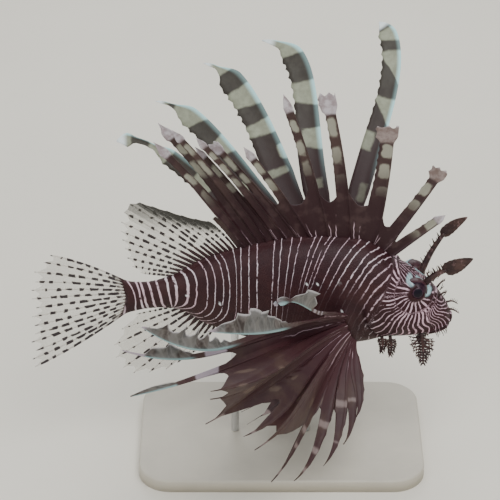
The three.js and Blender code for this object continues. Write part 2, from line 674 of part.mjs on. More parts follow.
function standBase() {
  const [w, d, r] = [BASE.length / 2, BASE.width / 2, BASE.corner];
  const shape = new THREE.Shape();
  shape.absarc(w - r, d - r, r, 0, Math.PI / 2);
  shape.absarc(-w + r, d - r, r, Math.PI / 2, Math.PI);
  shape.absarc(-w + r, -d + r, r, Math.PI, 1.5 * Math.PI);
  shape.absarc(w - r, -d + r, r, 1.5 * Math.PI, 2 * Math.PI);
  const geometry = new THREE.ExtrudeGeometry(shape, {
    depth: BASE.thickness, bevelEnabled: false, curveSegments: 6,
  });
  geometry.translate(BASE.middle, 0, 0);
  return toSolid(geometry);
}

function standRod(x) {
  const low = BASE.thickness + GAP;
  const high = AXIS_HEIGHT + section(x).belly + 5;
  const rod = new THREE.CylinderGeometry(RODS.radius, RODS.radius, high - low, 20);
  rod.rotateX(Math.PI / 2);
  rod.translate(x, 0, (low + high) / 2);
  return toSolid(rod).subtract(bodyGrown.translate([0, 0, AXIS_HEIGHT]));
}

const model = new THREE.Group();
const fish = new THREE.Group();
fish.position.z = AXIS_HEIGHT;
model.add(fish);

function place(parent, name, solid, material) {
  const mesh = new THREE.Mesh(toGeometry(solid), material.clone());
  mesh.name = name;
  parent.add(mesh);
}

for (const [name, solid] of Object.entries(fleshPieces())) place(fish, name, solid, MAROON);
place(fish, 'dorsal_fin_spines', spinyDorsalFin(), BANDED);
place(fish, 'dorsal_fin_soft', softDorsalFin(), CLEAR_FIN);
place(fish, 'anal_fin', analFin(), CLEAR_FIN);
place(fish, 'tail_fin', tailFin(), CLEAR_FIN);
place(fish, 'pectoral_fin_left', leftPectoralFin(), FEATHER);
place(fish, 'pectoral_fin_right', rightPectoralFin(), FEATHER);
for (const [suffix, side] of [['left', 1], ['right', -1]]) {
  place(fish, `pelvic_fin_${suffix}`, pelvicFin(side), MAROON);
  place(fish, `eye_${suffix}`, eyeBall(EYE.radius, side), EYE_DARK);
  place(fish, `brow_tentacle_${suffix}`, browTentacle(side, BROW_STEM[suffix]), MAROON);
  place(fish, `snout_feeler_${suffix}`, feeler(SNOUT_FEELER, side, 0.8), MAROON);
  place(fish, `nasal_feeler_${suffix}`, feeler(NASAL_FEELER, side, 0.8), MAROON);
  BARBELS.forEach((shape, i) => place(fish, `barbel_${suffix}_${i + 1}`, barbel(shape, side), MAROON));
}
place(model, 'stand_base', standBase(), BASE_FINISH);
place(model, 'stand_rod_front', standRod(RODS.front), STEEL);
place(model, 'stand_rod_back', standRod(RODS.back), STEEL);

export default model;
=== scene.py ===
import math
import random
from collections import namedtuple

import bpy
import numpy as np
from bpy.props import FloatProperty, FloatVectorProperty, IntProperty, PointerProperty
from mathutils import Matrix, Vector


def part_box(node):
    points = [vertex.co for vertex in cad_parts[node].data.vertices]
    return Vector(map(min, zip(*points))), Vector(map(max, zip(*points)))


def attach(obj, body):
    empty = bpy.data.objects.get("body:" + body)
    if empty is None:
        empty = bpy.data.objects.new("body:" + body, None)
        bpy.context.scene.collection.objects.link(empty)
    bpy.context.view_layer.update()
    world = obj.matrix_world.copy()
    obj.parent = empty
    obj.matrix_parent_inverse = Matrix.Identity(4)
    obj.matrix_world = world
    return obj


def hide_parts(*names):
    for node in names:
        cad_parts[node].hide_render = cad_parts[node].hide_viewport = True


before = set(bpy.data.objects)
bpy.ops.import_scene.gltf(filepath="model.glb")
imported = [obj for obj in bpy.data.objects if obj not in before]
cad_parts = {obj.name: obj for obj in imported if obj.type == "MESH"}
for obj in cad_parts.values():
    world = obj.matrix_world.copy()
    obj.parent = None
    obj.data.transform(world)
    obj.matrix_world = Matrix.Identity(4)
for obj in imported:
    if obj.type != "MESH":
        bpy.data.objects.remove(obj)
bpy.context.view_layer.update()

bl_info = {
    "name": "Lionfish display model",
    "version": (1, 0, 0),
    "blender": (4, 5, 0),
    "location": "3D View > Sidebar > Lionfish",
    "description": "Builds a life-size lionfish model, its stand and a plain studio",
    "category": "Add Mesh",
}

# Shape sizes are in millimetres in the fish's own frame: x towards the snout, y to its left, z above the
# body's middle line. Pieces are turned to metres, and lifted to the middle line's height, as they are made.
MM = 0.001
ROOT = "root"
SEED = 7
VIEW_DIRECTION = (0, 0.866, -0.5)  # from the camera to the fish's right side
THINNEST = 0.16  # that a fin's membrane gets
ROOT_DEPTH = 1.5  # how deep a pectoral ray's root lies in the flank
# The most that a ray's half width takes of the room to the next ray, on its wider side and on its other side
WIDER_ROOM, NARROWER_ROOM = 0.58, 0.34
WEB_PLACES = (0.08, 0.2, 0.35, 0.5, 0.65, 0.8, 0.92)  # columns of membrane, as shares of the way between rays
TINY = 1e-9  # keeps a length that is divided by from being 0
OUTSIDE = -9.0  # what a mark's depth is, in millimetres, where no mark is near

# The body from the tail's end to the snout: place along it, back, belly, half width
BODY = np.array([
    (-110, 8, -19, 3.4), (-104, 6, -16.5, 3.9), (-91, 6, -13.5, 5.2), (-78, 10, -13, 7.6),
    (-68, 15.5, -16, 9.3), (-58, 21.5, -23, 11), (-45, 27, -29, 13.2), (-32, 31, -33.5, 15.2),
    (-10, 37, -39, 18), (8, 39.2, -40, 19.8), (30, 39.3, -39.5, 20.8), (50, 36, -36.5, 21.8),
    (62, 28.5, -33, 21.6), (72, 20.5, -32.3, 20.4), (81, 15.5, -32, 18.2), (90, 8, -31, 15.2),
    (96, 1, -30.5, 12.6), (100.5, -5, -29.3, 10.2), (104, -11, -27.3, 7.4), (106, -16, -23.5, 3.6),
])
BACK, BELLY, HALF_WIDTH = 1, 2, 3  # columns of BODY
SECTION_POWER = 2.15  # how full a body section is: 2 is an ellipse
TAIL_END, SNOUT = BODY[0, 0], BODY[-1, 0]
HEAD_START = 55
ROW_STEPS = (1.15, 0.5)  # steps between the skin's rows on the trunk and on the head

# The gill cover's outline and the mouth, seen from the side: place along, height
GILL_COVER = [
    (66, 11), (57, 8), (50, 2), (47.5, -5), (50, -14), (56, -23), (63, -27.5), (67, -21), (68, -9), (68.5, 2),
]
MOUTH_LINE = [(107.5, -21.6), (104, -22.5), (97, -25), (91, -26.6)]
EYE = Vector((81.6, 11.6, 7))
EYE_RADIUS = 8
EYE_AIM = Vector((0.16, 0.96, 0.22)).normalized()
LID_RADIUS = 3.8  # of the opening between the lids
EYE_REACH = 16  # how far from the eye's middle its lids and brow reach
# Nostrils and the bumps of the nape: place along, degrees down from the back, and the bumps' height
NOSTRILS = [(97.5, 52), (93.5, 47)]
NAPE_BUMPS = [(60, 26, 3.2), (65.5, 24, 2.8), (71, 21, 2.4)]
# Small spines of the cheek: place along, height
CHEEK_SPINES = [(70, -10), (70.5, -16), (69.5, -22), (76, -15), (83, -14), (90, -14)]

# Thin pale lines: where each meets the back
LINE_PLACES = [
    -116, -106.3, -100.6, -98, -93, -87.8, -81.1, -77.1, -71.5, -67.1, -59.8, -54.9, -49.5, -45.9, -37.2, -32,
    -26.7, -21.5, -9.8, -5.2, 1.6, 7.2, 16.9, 20.8, 26, 28.9, 39, 46.2, 51.4, 58.5, 63.2, 66.6, 71.8, 76.5,
    81, 85, 90, 95,
]
# Where the head's lines begin: a place along, the height where it holds, and how much further forward it is
# for each millimetre above that. The lines are spokes round the eye, twice as many beyond SPOKES_DOUBLE.
HEAD_LINES = (53, -10, 0.42)
HEAD_SPOKES = 22
SPOKES_DOUBLE = 14
CROWN = (71, 6.5, 2.5)  # the crown's lines: from where along, how far above the eye, their pitch
# Small pale dots of the flank: place along, height
LATERAL_DOTS = [(-67, 1), (-45.5, -3), (11, 15), (17.5, 15), (32, 16), (34, -3)]

# Pectoral fins. Rays count from the top. Sweep is towards the tail, lift is above level, in degrees.
PECTORAL_TOP, PECTORAL_BOTTOM = (36, -7), (42, -27)
PECTORAL_LENGTHS = [184, 186, 186, 186, 184, 152, 142, 134, 118, 122, 114, 105, 90, 73, 55]
RIGHT_SWEEP = [18, 31, 47, 51, 48, 36, 39, 44, 37, 32, 35, 30, 18, 8, -1]
RIGHT_LIFT = [32, 25, 21, 15, 7, 10, 6, -5, -11, -12, -36, -43, -44, -45, -44]
LEFT_SWEEP = [-12, 22, 39, 52, 68, 50, 45, 40, 37, 35, 30, 25, 20, 15, 10]
LEFT_LIFT = [47, 39, 36, 29, 26, -18, -23, -28, -30, -33, -38, -43, -48, -53, -58]
# The membrane's edge between each two rays, from the upper ray to the lower one, as shares of their lengths
RIGHT_JOINED = [
    (0.3, 0.26, 0.3), (0.34, 0.3, 0.34), (0.40, 0.38, 0.42), (0.60, 0.57, 0.56, 0.58, 0.62),
    (0.68, 0.69, 0.75, 0.85, 0.955), (0.96, 0.93, 0.955), (0.955, 0.93, 0.915, 0.93, 0.95),
    (0.93, 0.80, 0.71, 0.68, 0.72), (0.86, 0.83, 0.86), (0.86, 0.79, 0.71, 0.66, 0.62), (0.55, 0.50, 0.53),
    (0.56, 0.53, 0.6), (0.58, 0.60, 0.67), (0.82, 0.82, 0.86),
]
LEFT_JOINED = [
    (v, 0.92 * v, v) for v in (0.3, 0.3, 0.32, 0.36, 0.5, 0.62, 0.7, 0.7, 0.7, 0.66, 0.6, 0.66, 0.7, 0.72)
]
# How far each ray is bowed, how far it droops and how its last stretch curls forward and up: the first two
# as shares of its length, the curl in millimetres
PECTORAL_BOW = [0.06] * 10 + [0.03] + [0.06] * 4
RIGHT_DROOP = [0.02, -0.002, 0.065, 0.026, -0.03, -0.005, 0, -0.045, 0, -0.02]
LEFT_CURL = [(3, 3), (9, 5), (2, 4), (2, 3), (2, 6)]
RIGHT_CURL = [(0, 7)]
# The left fin's upper rays are feathers: half widths to their front and rear, where the tip's taper begins
# and ends, and what share of the width is left after it
Feather = namedtuple("Feather", "front rear taper_start taper_end left_over")
LEFT_FEATHERS = [Feather(*row) for row in (
    (6, 8, 0.94, 1.0, 0.4), (7.4, 10, 0.90, 0.975, 0.25), (7.6, 11.5, 0.88, 0.96, 0.14),
    (6.4, 9, 0.87, 0.955, 0.14), (5.4, 7.5, 0.80, 0.88, 0.3),
)]
# Leaves of the right fin's upper rays: where they start and end, height, how near the end their crest is,
# the distance of their torn points, how deep they are torn and how peaked the leaf is
Leaf = namedtuple("Leaf", "start end height crest pitch torn peak")
RIGHT_LEAVES = [Leaf(*row) for row in (
    (0.74, 0.925, 11, 1.0, 26, 0.12, 0.9), (0.38, 1, 15.5, 1.9, 14, 0.22, 1.15),
    (0.52, 1, 15.5, 2.2, 11, 0.55, 0.8), (0.72, 0.94, 10, 1.6, 13, 0.3, 0.9), (0.84, 1, 3, 1.0, 12, 0.2, 0.7),
)]
RIGHT_SHAFT = [1.3, 2, 2.2, 2.2, 2.2]  # half widths of the shafts that carry the leaves
RIGHT_SPOON = (0.965, 0.034, 2.2)  # the wider tip of the first ray: how far out, how long, how much wider
LOWER_RAY_HALF_WIDTH = 4.4
# Pale bands of each ray: upper end, lower end at the ray's front edge and at its rear edge, as shares of
# its length, and between which places across the ray (-1 is the front edge, 1 the rear edge)
LEFT_BANDS = [
    [(1.1, 0.985, 0.985), (0.965, 0.91, 0.925), (0.877, 0.755, 0.85), (0.70, 0.595, 0.685),
     (0.57, 0.49, 0.50, 0.1, 3), (0.38, 0.31, 0.31, -0.7, 0.2)],
    [(1.1, 0.895, 0.92), (0.795, 0.70, 0.72), (0.615, 0.53, 0.55, -3, 0.6), (0.42, 0.375, 0.385, -0.6, 0.6)],
    [(1.1, 0.915, 0.93), (0.845, 0.76, 0.78), (0.70, 0.64, 0.655), (0.59, 0.53, 0.56, -3, -0.5),
     (0.51, 0.485, 0.48, -0.6, 3)],
    [(1.1, 0.955, 0.96), (0.935, 0.82, 0.85), (0.74, 0.66, 0.69, -3, 0.4), (0.55, 0.50, 0.52, 0, 3)],
    [(1.1, 0.955, 0.955), (0.89, 0.80, 0.81), (0.69, 0.60, 0.62), (0.50, 0.46, 0.47, -0.5, 3)],
]
RIGHT_BANDS = [
    [(1.1, 0.96, 0.96), (0.9, 0.76, 0.76), (0.72, 0.68, 0.68), (0.64, 0.6, 0.6), (0.54, 0.5, 0.5)],
    [(1.1, 0.94, 0.94), (0.86, 0.66, 0.62)],
    [(1.1, 0.955, 0.955), (0.92, 0.82, 0.80), (0.76, 0.66, 0.66)],
    [(1.1, 0.925, 0.925), (0.9, 0.82, 0.82), (0.70, 0.60, 0.60)],
    [(0.945, 0.87, 0.87), (0.77, 0.66, 0.67)],
    [], [],
    [(0.985, 0.91, 0.91)],
    [(0.96, 0.93, 0.93)],
    [(0.97, 0.925, 0.925)],
    [(0.945, 0.905, 0.91), (0.765, 0.735, 0.74), (0.66, 0.625, 0.635)],
    [(0.93, 0.90, 0.90), (0.80, 0.765, 0.765), (0.625, 0.585, 0.585)],
    [(0.55, 0.505, 0.505), (0.82, 0.80, 0.80)],
    [(0.61, 0.575, 0.575)],
    [],
]
SPOT_SHAPE = 0.7  # how wide a brown spot of the membrane is across the rays, for its length along them
# Small brown spots on the membrane: between which rays, how far out, size
RIGHT_SPOTS = [
    (4.6, 0.70, 3.4), (5.2, 0.60, 2.6), (6.4, 0.66, 2.4), (6.1, 0.80, 3.6), (5.1, 0.86, 2.8),
    (7.3, 0.62, 2.6), (9.6, 0.52, 2.6), (10.5, 0.46, 2.2), (11.5, 0.5, 2.2), (8.6, 0.62, 2.2),
    (12.4, 0.55, 2.0), (7.6, 0.5, 1.8),
]

# Dorsal spines from front to back: root, tip along, tip height, lean to the left side, width of the shaft
# with its membrane, width and length of the flag at the tip, whether the flag is blunt, how far below the
# tip the first pale spot is, the spots' pitch and their number
Spine = namedtuple("Spine", "root tip height lean shaft flag flag_length blunt first_spot pitch spots")
DORSAL_SPINES = [Spine(*row) for row in (
    (63, 100, 55, 2, 8, 7, 9, 0, 12, 15, 2), (58, 97, 90, 1, 9, 12, 12, 1, 20, 13.5, 3),
    (51, 62, 120, 3, 12, 15, 14, 1, 19, 14.5, 3), (37, 21.5, 146, -2, 9, 12, 18, 1, 26, 20, 3),
    (23, -5, 141, 3, 7.5, 6.5, 14, 0, 23, 15.5, 3), (12, -30, 107, -3, 6.5, 6.5, 12, 0, 19, 14, 2),
    (4, -51, 108, 3, 6.5, 8, 12, 1, 20, 14, 2), (-3, -60, 113, -2, 5.5, 5.5, 10, 0, 17, 12, 3),
    (-10, -61, 104, 3, 5.5, 5.5, 11, 0, 22, 15, 2), (-15, -75, 119, -3, 6, 6.5, 11, 0, 18, 16, 2),
    (-20, -84, 121, 3, 6.5, 8.5, 15, 0, 24, 17, 2), (-25, -87, 110, -2, 6, 7, 15, 0, 36, 18, 2),
    (-29.5, -49, 54, 1, 5, 5, 0.1, 0, 60, 17, 1),
)]
# How a spine's width is shared out to its front and its rear, and the least that is left of each
SPINE_FRONT, SPINE_REAR, SPINE_LEAST = 0.42, 0.58, 0.15
DORSAL_JOINED = [
    (v, 0.9 * v, 0.86 * v, 0.9 * v, v)
    for v in (0.22, 0.24, 0.33, 0.31, 0.36, 0.43, 0.5, 0.5, 0.46, 0.46, 0.46, 0.74)
]

# Fins in the middle plane: roots, number of rays, then places that the ray tips follow from front to back
# (or top to bottom)
SOFT_DORSAL_ROOTS = (-33.5, -74)
SOFT_DORSAL_RAYS = 15
SOFT_DORSAL_TIPS = [
    (-53.5, 51.5), (-65, 54), (-78, 58.5), (-91, 63), (-101, 65.5), (-107, 58), (-109.5, 48), (-109, 39),
    (-107, 30), (-104.5, 20), (-97.5, 13),
]
SOFT_DORSAL_HAZE = [1.0, 1.0, 1.0, 0.95, 0.85, 0.7, 0.45, 0.2] + [0.0] * 7  # how dusky each ray's end is
ANAL_ROOTS = (-48, -73)
ANAL_RAYS = 10
ANAL_TIPS = [
    (-66, -50), (-76, -58), (-84.5, -63), (-98, -65), (-108, -64), (-114, -56), (-117, -46), (-112, -32),
    (-101, -19),
]
TAIL_ROOTS = (7, -18)
TAIL_RAYS = 14
TAIL_TIPS = [
    (-156, 26), (-163, 19), (-167, 9), (-169, 1), (-168.5, -7), (-168, -15), (-168.5, -23), (-168.5, -30),
    (-169, -37), (-169, -44), (-168, -50),
]
TAIL_LEAN = -16  # how far its lower tips stand out to the right
TAIL_NOTCH = 4.5  # how far the skin's end is hollowed at the middle
PELVIC_ROOTS = ((37, -38), (30, -39.5))
PELVIC_SIDE = 7  # the roots' distance from the middle plane
PELVIC_TIPS = [(12, -84), (-6, -93), (-20, -97), (-28, -96), (-32, -88), (-22, -70)]
PELVIC_SPREAD = 25  # the first tip's distance from the middle plane
PELVIC_JOINED = [(v, 0.9 * v, v) for v in (0.93, 0.86, 0.88, 0.84, 0.86)]
SPOT_ROWS = 8  # rows of dark dashes across a clear fin

# The brow tentacles: the stem's places from its root, the last of them the tip of the leaf
BROW_STEM = {
    "right": [(85.5, 7.5, 7), (94, 10, 17), (101.5, 11, 21.5), (118, 12, 30.5)],
    "left": [(85.5, 7.5, 7), (93, 12, 22), (101, 15, 34), (116, 17, 45)],
}
BROW_SPIKES = 22
BROW_LEAF_HALF_WIDTH = {"right": 5.6, "left": 4.2}
# Barbels: root, tip, pairs of branches, length of the longest branch
BARBELS = [
    ((86.5, 10.5, -27), (88.5, 14, -49), 10, 8.2),
    ((66, 14.5, -27), (66.5, 18, -39.5), 7, 3.9),
    ((60.5, 14, -27), (60.5, 17.5, -37), 6, 3.4),
]
SNOUT_FEELER = [(103, 4, -12), (107.5, 5.5, -12), (111.5, 6, -14.5)]
NASAL_FEELER = [(97, 6, -2), (100, 7, 1.5), (102.5, 7.5, 2.5)]
SIDES = {"left": 1, "right": -1}

# The stand's plate: radius of its corners in metres, steps round each, and steps over its upper edge
PLATE_CORNER, CORNER_STEPS, BEVEL_STEPS = 0.022, 12, 5
# What the camera looks at: place along, and how far above the body's middle line it seems, in metres
CAMERA_TARGET = (-0.026, 0.026)
# Lamps of the studio: name, place and width in metres, power in watts
LAMPS = (
    ("key", (0.35, -0.55, 1.25), 0.9, 13.0), ("fill", (-0.8, -0.7, 0.7), 0.8, 4.0),
    ("back", (0.0, 0.9, 0.9), 0.8, 6.0),
)


class BodySettings(bpy.types.PropertyGroup):
    middle_height: FloatProperty(
        name="Middle line height", description="Height of the body's middle line above the floor",
        default=0.12, unit="LENGTH")
    around: IntProperty(
        name="Points around", description="Points round one body section", default=168, min=24)
    line_width: FloatProperty(
        name="Line width", description="Width of the thin pale lines on the skin", default=0.0011,
        unit="LENGTH", precision=4)
    dark_colour: FloatVectorProperty(
        name="Skin", description="Dark ground of the skin", subtype="COLOR", default=(0.022, 0.0052, 0.0075))
    line_colour: FloatVectorProperty(
        name="Lines", description="Thin pale lines on the skin", subtype="COLOR", default=(0.56, 0.40, 0.45))
    patch_colour: FloatVectorProperty(
        name="Eye patches", description="Pale patches beside the eyes", subtype="COLOR",
        default=(0.40, 0.62, 0.65))


class FinSettings(bpy.types.PropertyGroup):
    ray_rows: IntProperty(
        name="Rows along a ray", description="Steps along each fin ray", default=96, min=8)
    dark_band: FloatVectorProperty(
        name="Dark bands", description="Dark bands of the long fin rays", subtype="COLOR",
        default=(0.046, 0.041, 0.031))
    pale_band: FloatVectorProperty(
        name="Pale bands", description="Pale bands of the long fin rays", subtype="COLOR",
        default=(0.28, 0.295, 0.215))
    # Painted highlight: a cyan-white streak of light along the long rays' front edges.
    edge_highlight_colour: FloatVectorProperty(
        name="Ray edges", description="Bright front edges of the long rays", subtype="COLOR",
        default=(0.42, 0.68, 0.68))
    tip_colour: FloatVectorProperty(
        name="Spine tips", description="Pinkish flags on the spine tips", subtype="COLOR",
        default=(0.25, 0.20, 0.185))
    clear_alpha: FloatProperty(
        name="Clear fins", description="How solid the clear fins look between their spots", default=0.2,
        min=0, max=1)


class StandSettings(bpy.types.PropertyGroup):
    plate_colour: FloatVectorProperty(
        name="Plate", description="Paint on the stand's plate", subtype="COLOR", default=(0.50, 0.46, 0.38))
    plate_bevel: FloatProperty(
        name="Plate bevel", description="Rounding of the plate's upper edge", default=0.0015, unit="LENGTH")


class StageSettings(bpy.types.PropertyGroup):
    floor_colour: FloatVectorProperty(
        name="Floor", description="Colour of the plain floor", subtype="COLOR", default=(0.74, 0.70, 0.61))
    elevation: FloatProperty(
        name="Camera height angle", description="How steeply the camera looks down", subtype="ANGLE",
        unit="ROTATION", default=math.radians(30))
    distance: FloatProperty(
        name="Camera distance", description="From the camera to the fish", default=1.5, unit="LENGTH")
    view_width: FloatProperty(
        name="View width", description="Width of what the camera sees at the fish", default=0.325,
        unit="LENGTH")


def smooth(place, column):
    """Columns of BODY on a smooth curve through its rows, at an array of places."""
    place = np.asarray(place, float)
    i = np.clip(np.searchsorted(BODY[:, 0], place) - 1, 0, len(BODY) - 2)
    x, v = BODY[:, 0], BODY[:, column]
    slopes = np.gradient(v, x)
    slopes[1:-1] = (v[2:] - v[:-2]) / (x[2:] - x[:-2])
    width = x[i + 1] - x[i]
    t = np.clip((place - x[i]) / width, 0, 1)
    h = t * t * (3 - 2 * t)
    bend = t * (1 - t) ** 2 * slopes[i] - t * t * (1 - t) * slopes[i + 1]
    return v[i] * (1 - h) + v[i + 1] * h + width * bend


def section(x):
    """Middle height, half height and half width of the body's section at a place along it."""
    back, belly = smooth(x, BACK), smooth(x, BELLY)
    return (back + belly) / 2, (back - belly) / 2, smooth(x, HALF_WIDTH)


def flank(x, z):
    """How far the skin is from the middle plane at a place and height."""
    middle, half, width = section(x)
    rise = np.clip(np.abs(z - middle) / half, 0, 1)
    return float(width * (1 - rise ** SECTION_POWER) ** (1 / SECTION_POWER))


def body_point(x, angle, grow=0.0):
    middle, half, width = section(x)
    power = 2 / SECTION_POWER
    s, c = np.sin(angle), np.cos(angle)
    return np.stack([
        np.broadcast_to(x, np.shape(angle)).astype(float),
        (width + grow) * np.sign(s) * np.abs(s) ** power,
        middle + (half + grow) * np.sign(c) * np.abs(c) ** power,
    ], -1)


def turn_from_back(angle):
    """The angle of a place on a body section from the back, alike on both sides."""
    return np.abs(np.arctan2(np.sin(angle), np.cos(angle)))


def ease(low, high, value):
    t = np.clip((np.asarray(value, float) - low) / (high - low), 0, 1)
    return t * t * (3 - 2 * t)


def bump(distance, radius):
    return np.exp(-(np.asarray(distance) / radius) ** 2)


def unit(vectors):
    """Vectors of length 1, from one vector or an array of them."""
    return vectors / np.maximum(np.linalg.norm(vectors, axis=-1, keepdims=True), TINY)


def limited(value, low=0, high=1):
    return min(max(value, low), high)


def between(first, second, share):
    """Values some share of the way from a first one to a second one."""
    return np.asarray(first) + (np.asarray(second) - np.asarray(first)) * share


def mirrored(place, side):
    return np.array([place[0], side * place[1], place[2]])


def line_distance(x, z, line, closed=False):
    """Distance of places seen from the side from a line of straight stretches."""
    points = np.stack([x, z], -1)
    line = np.array(line, float)
    ends = np.roll(line, -1, 0) if closed else line[1:]
    starts = line if closed else line[:-1]
    best = np.full(x.shape, np.inf)
    for a, b in zip(starts, ends):
        t = np.clip(((points - a) @ (b - a)) / max((b - a) @ (b - a), TINY), 0, 1)
        best = np.minimum(best, np.linalg.norm(points - a - t[..., None] * (b - a), axis=-1))
    return best


def inside(x, z, line):
    """True for places seen from the side within a closed line."""
    line = np.array(line, float)
    result = np.zeros(x.shape, bool)
    for (ax, az), (bx, bz) in zip(line, np.roll(line, -1, 0)):
        crosses = (az > z) != (bz > z)
        at = ax + (z - az) / (bz - az if bz != az else TINY) * (bx - ax)
        result ^= crosses & (x < at)
    return result


def curve_place(p0, p1, p2, p3, share):
    """A place between p1 and p2 on the smooth curve that runs through four points."""
    return 0.5 * (2 * p1 + (p2 - p0) * share + (2 * p0 - 5 * p1 + 4 * p2 - p3) * share * share
                  + (3 * p1 - p0 - 3 * p2 + p3) * share ** 3)


def rounded(line, count):
    """A smooth closed line through a few points."""
    line = np.array(line, float)
    result = []
    for i in range(count):
        place = i / count * len(line)
        k = int(place)
        result.append(curve_place(*(line[(k + j - 1) % len(line)] for j in range(4)), place - k))
    return result


def place_on(route, share):
    """A place on a smooth curve through a few points."""
    route = np.asarray(route, float)
    spans = len(route) - 1
    k = min(int(share * spans), spans - 1)
    p1, p2 = route[k], route[k + 1]
    p0 = route[k - 1] if k > 0 else 2 * p1 - p2
    p3 = route[k + 2] if k + 2 < len(route) else 2 * p2 - p1
    return curve_place(p0, p1, p2, p3, share * spans - k)


def add_object(name, data):
    item = bpy.data.objects.new(name, data)
    bpy.context.collection.objects.link(item)
    return item


def make_mesh(name, points, faces, attributes):
    """A smooth mesh object from millimetre points in the fish's frame, with values for each point."""
    lift = bpy.context.scene.lionfish_body.middle_height
    mesh = bpy.data.meshes.new(name)
    places = np.asarray(points, float) * MM + np.array([0, 0, lift])
    mesh.from_pydata(places.tolist(), [], [list(map(int, f)) for f in faces])
    for key, values in attributes.items():
        layer = mesh.attributes.new(key, "FLOAT", "POINT")
        layer.data.foreach_set("value", np.asarray(values, np.float32))
    mesh.validate()
    mesh.polygons.foreach_set("use_smooth", [True] * len(mesh.polygons))
    return add_object(name, mesh)


def finish_piece(piece, slot_name, material, *nodes):
    """Gives a piece its material, parents it to the root and hides the nodes that it stands for. Its slot
    name is not used.
    """
    piece.data.materials.append(material)
    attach(piece, ROOT)
    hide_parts(*nodes)


class Paint:
    """Builds one material from nodes. A value is a number, a colour or the output of a node."""

    def __init__(self, name):
        self.material = bpy.data.materials.new(name)
        self.material.use_nodes = True
        self.nodes = self.material.node_tree.nodes
        self.links = self.material.node_tree.links
        self.shader = self.nodes["Principled BSDF"]

    def put(self, value, socket):
        if isinstance(value, bpy.types.NodeSocket):
            self.links.new(value, socket)
        elif hasattr(value, "__len__"):
            socket.default_value = (*value[:3], 1.0)
        else:
            socket.default_value = value

    def fill(self, node, **sockets):
        for name, value in sockets.items():
            self.put(value, node.inputs[name.replace("_", " ")])

    def math(self, operation, a, b=0.0, clamp=False):
        node = self.nodes.new("ShaderNodeMath")
        node.operation = operation
        node.use_clamp = clamp
        for value, socket in zip((a, b), node.inputs):
            self.put(value, socket)
        return node.outputs[0]

    def times(self, first, *others, clamp=False):
        for other in others:
            first = self.math("MULTIPLY", first, other, clamp)
        return first

    def plus(self, first, *others, clamp=False):
        for other in others:
            first = self.math("ADD", first, other, clamp)
        return first

    def minus(self, a, b):
        return self.math("SUBTRACT", a, b)

    def over(self, a, b):
        return self.math("DIVIDE", a, b)

    def rise(self, low, high, share):
        """Low where the share is 0 and high where it is 1."""
        return self.plus(low, self.times(share, high - low))

    def nearest(self, value):
        """Distance of a rising value from the nearest whole number."""
        return self.math("ABSOLUTE", self.minus(value, self.math("ROUND", value)))

    def step(self, value, low, high):
        """Rises smoothly from 0 at low to 1 at high, or falls where low is above high."""
        node = self.nodes.new("ShaderNodeMapRange")
        node.interpolation_type = "SMOOTHSTEP"
        for item, socket in zip((value, low, high, 0.0, 1.0), node.inputs):
            self.put(item, socket)
        return node.outputs[0]

    def value(self, name):
        node = self.nodes.new("ShaderNodeAttribute")
        node.attribute_name = name
        return node.outputs["Fac"]

    def place(self):
        return self.nodes.new("ShaderNodeTexCoord").outputs["Object"]

    def noise(self, scale, detail=2.0, rough=0.5):
        node = self.nodes.new("ShaderNodeTexNoise")
        self.fill(node, Scale=scale, Detail=detail, Roughness=rough, Vector=self.place())
        return node.outputs[0]

    def spread(self, size, *noise):
        """Noise about 0 that is size wide."""
        return self.times(self.minus(self.noise(*noise), 0.5), size)

    def patches(self, low, high, *noise):
        """Noise made into soft-edged patches: 0 where it is below low, 1 where it is above high."""
        return self.step(self.noise(*noise), low, high)

    def cells(self, scale, feature="DISTANCE_TO_EDGE"):
        node = self.nodes.new("ShaderNodeTexVoronoi")
        node.feature = feature
        self.fill(node, Scale=scale, Vector=self.place())
        return node.outputs["Distance"]

    def mix(self, share, a, b, most=1.0):
        """Colour a, and as much of colour b over it as the share says, up to most."""
        if most < 1:
            share = self.times(share, most)
        node = self.nodes.new("ShaderNodeMix")
        node.data_type = "RGBA"
        for item, index in ((share, 0), (a, 6), (b, 7)):
            self.put(item, node.inputs[index])
        return node.outputs[2]

    def mottled(self, a, b, low, high, *noise):
        """Colour a with patches of colour b."""
        return self.mix(self.patches(low, high, *noise), a, b)

    def relief(self, height, strength, distance):
        node = self.nodes.new("ShaderNodeBump")
        self.fill(node, Strength=strength, Distance=distance, Height=height)
        self.fill(self.shader, Normal=node.outputs[0])

    def set(self, **sockets):
        self.fill(self.shader, **sockets)
        return self.material


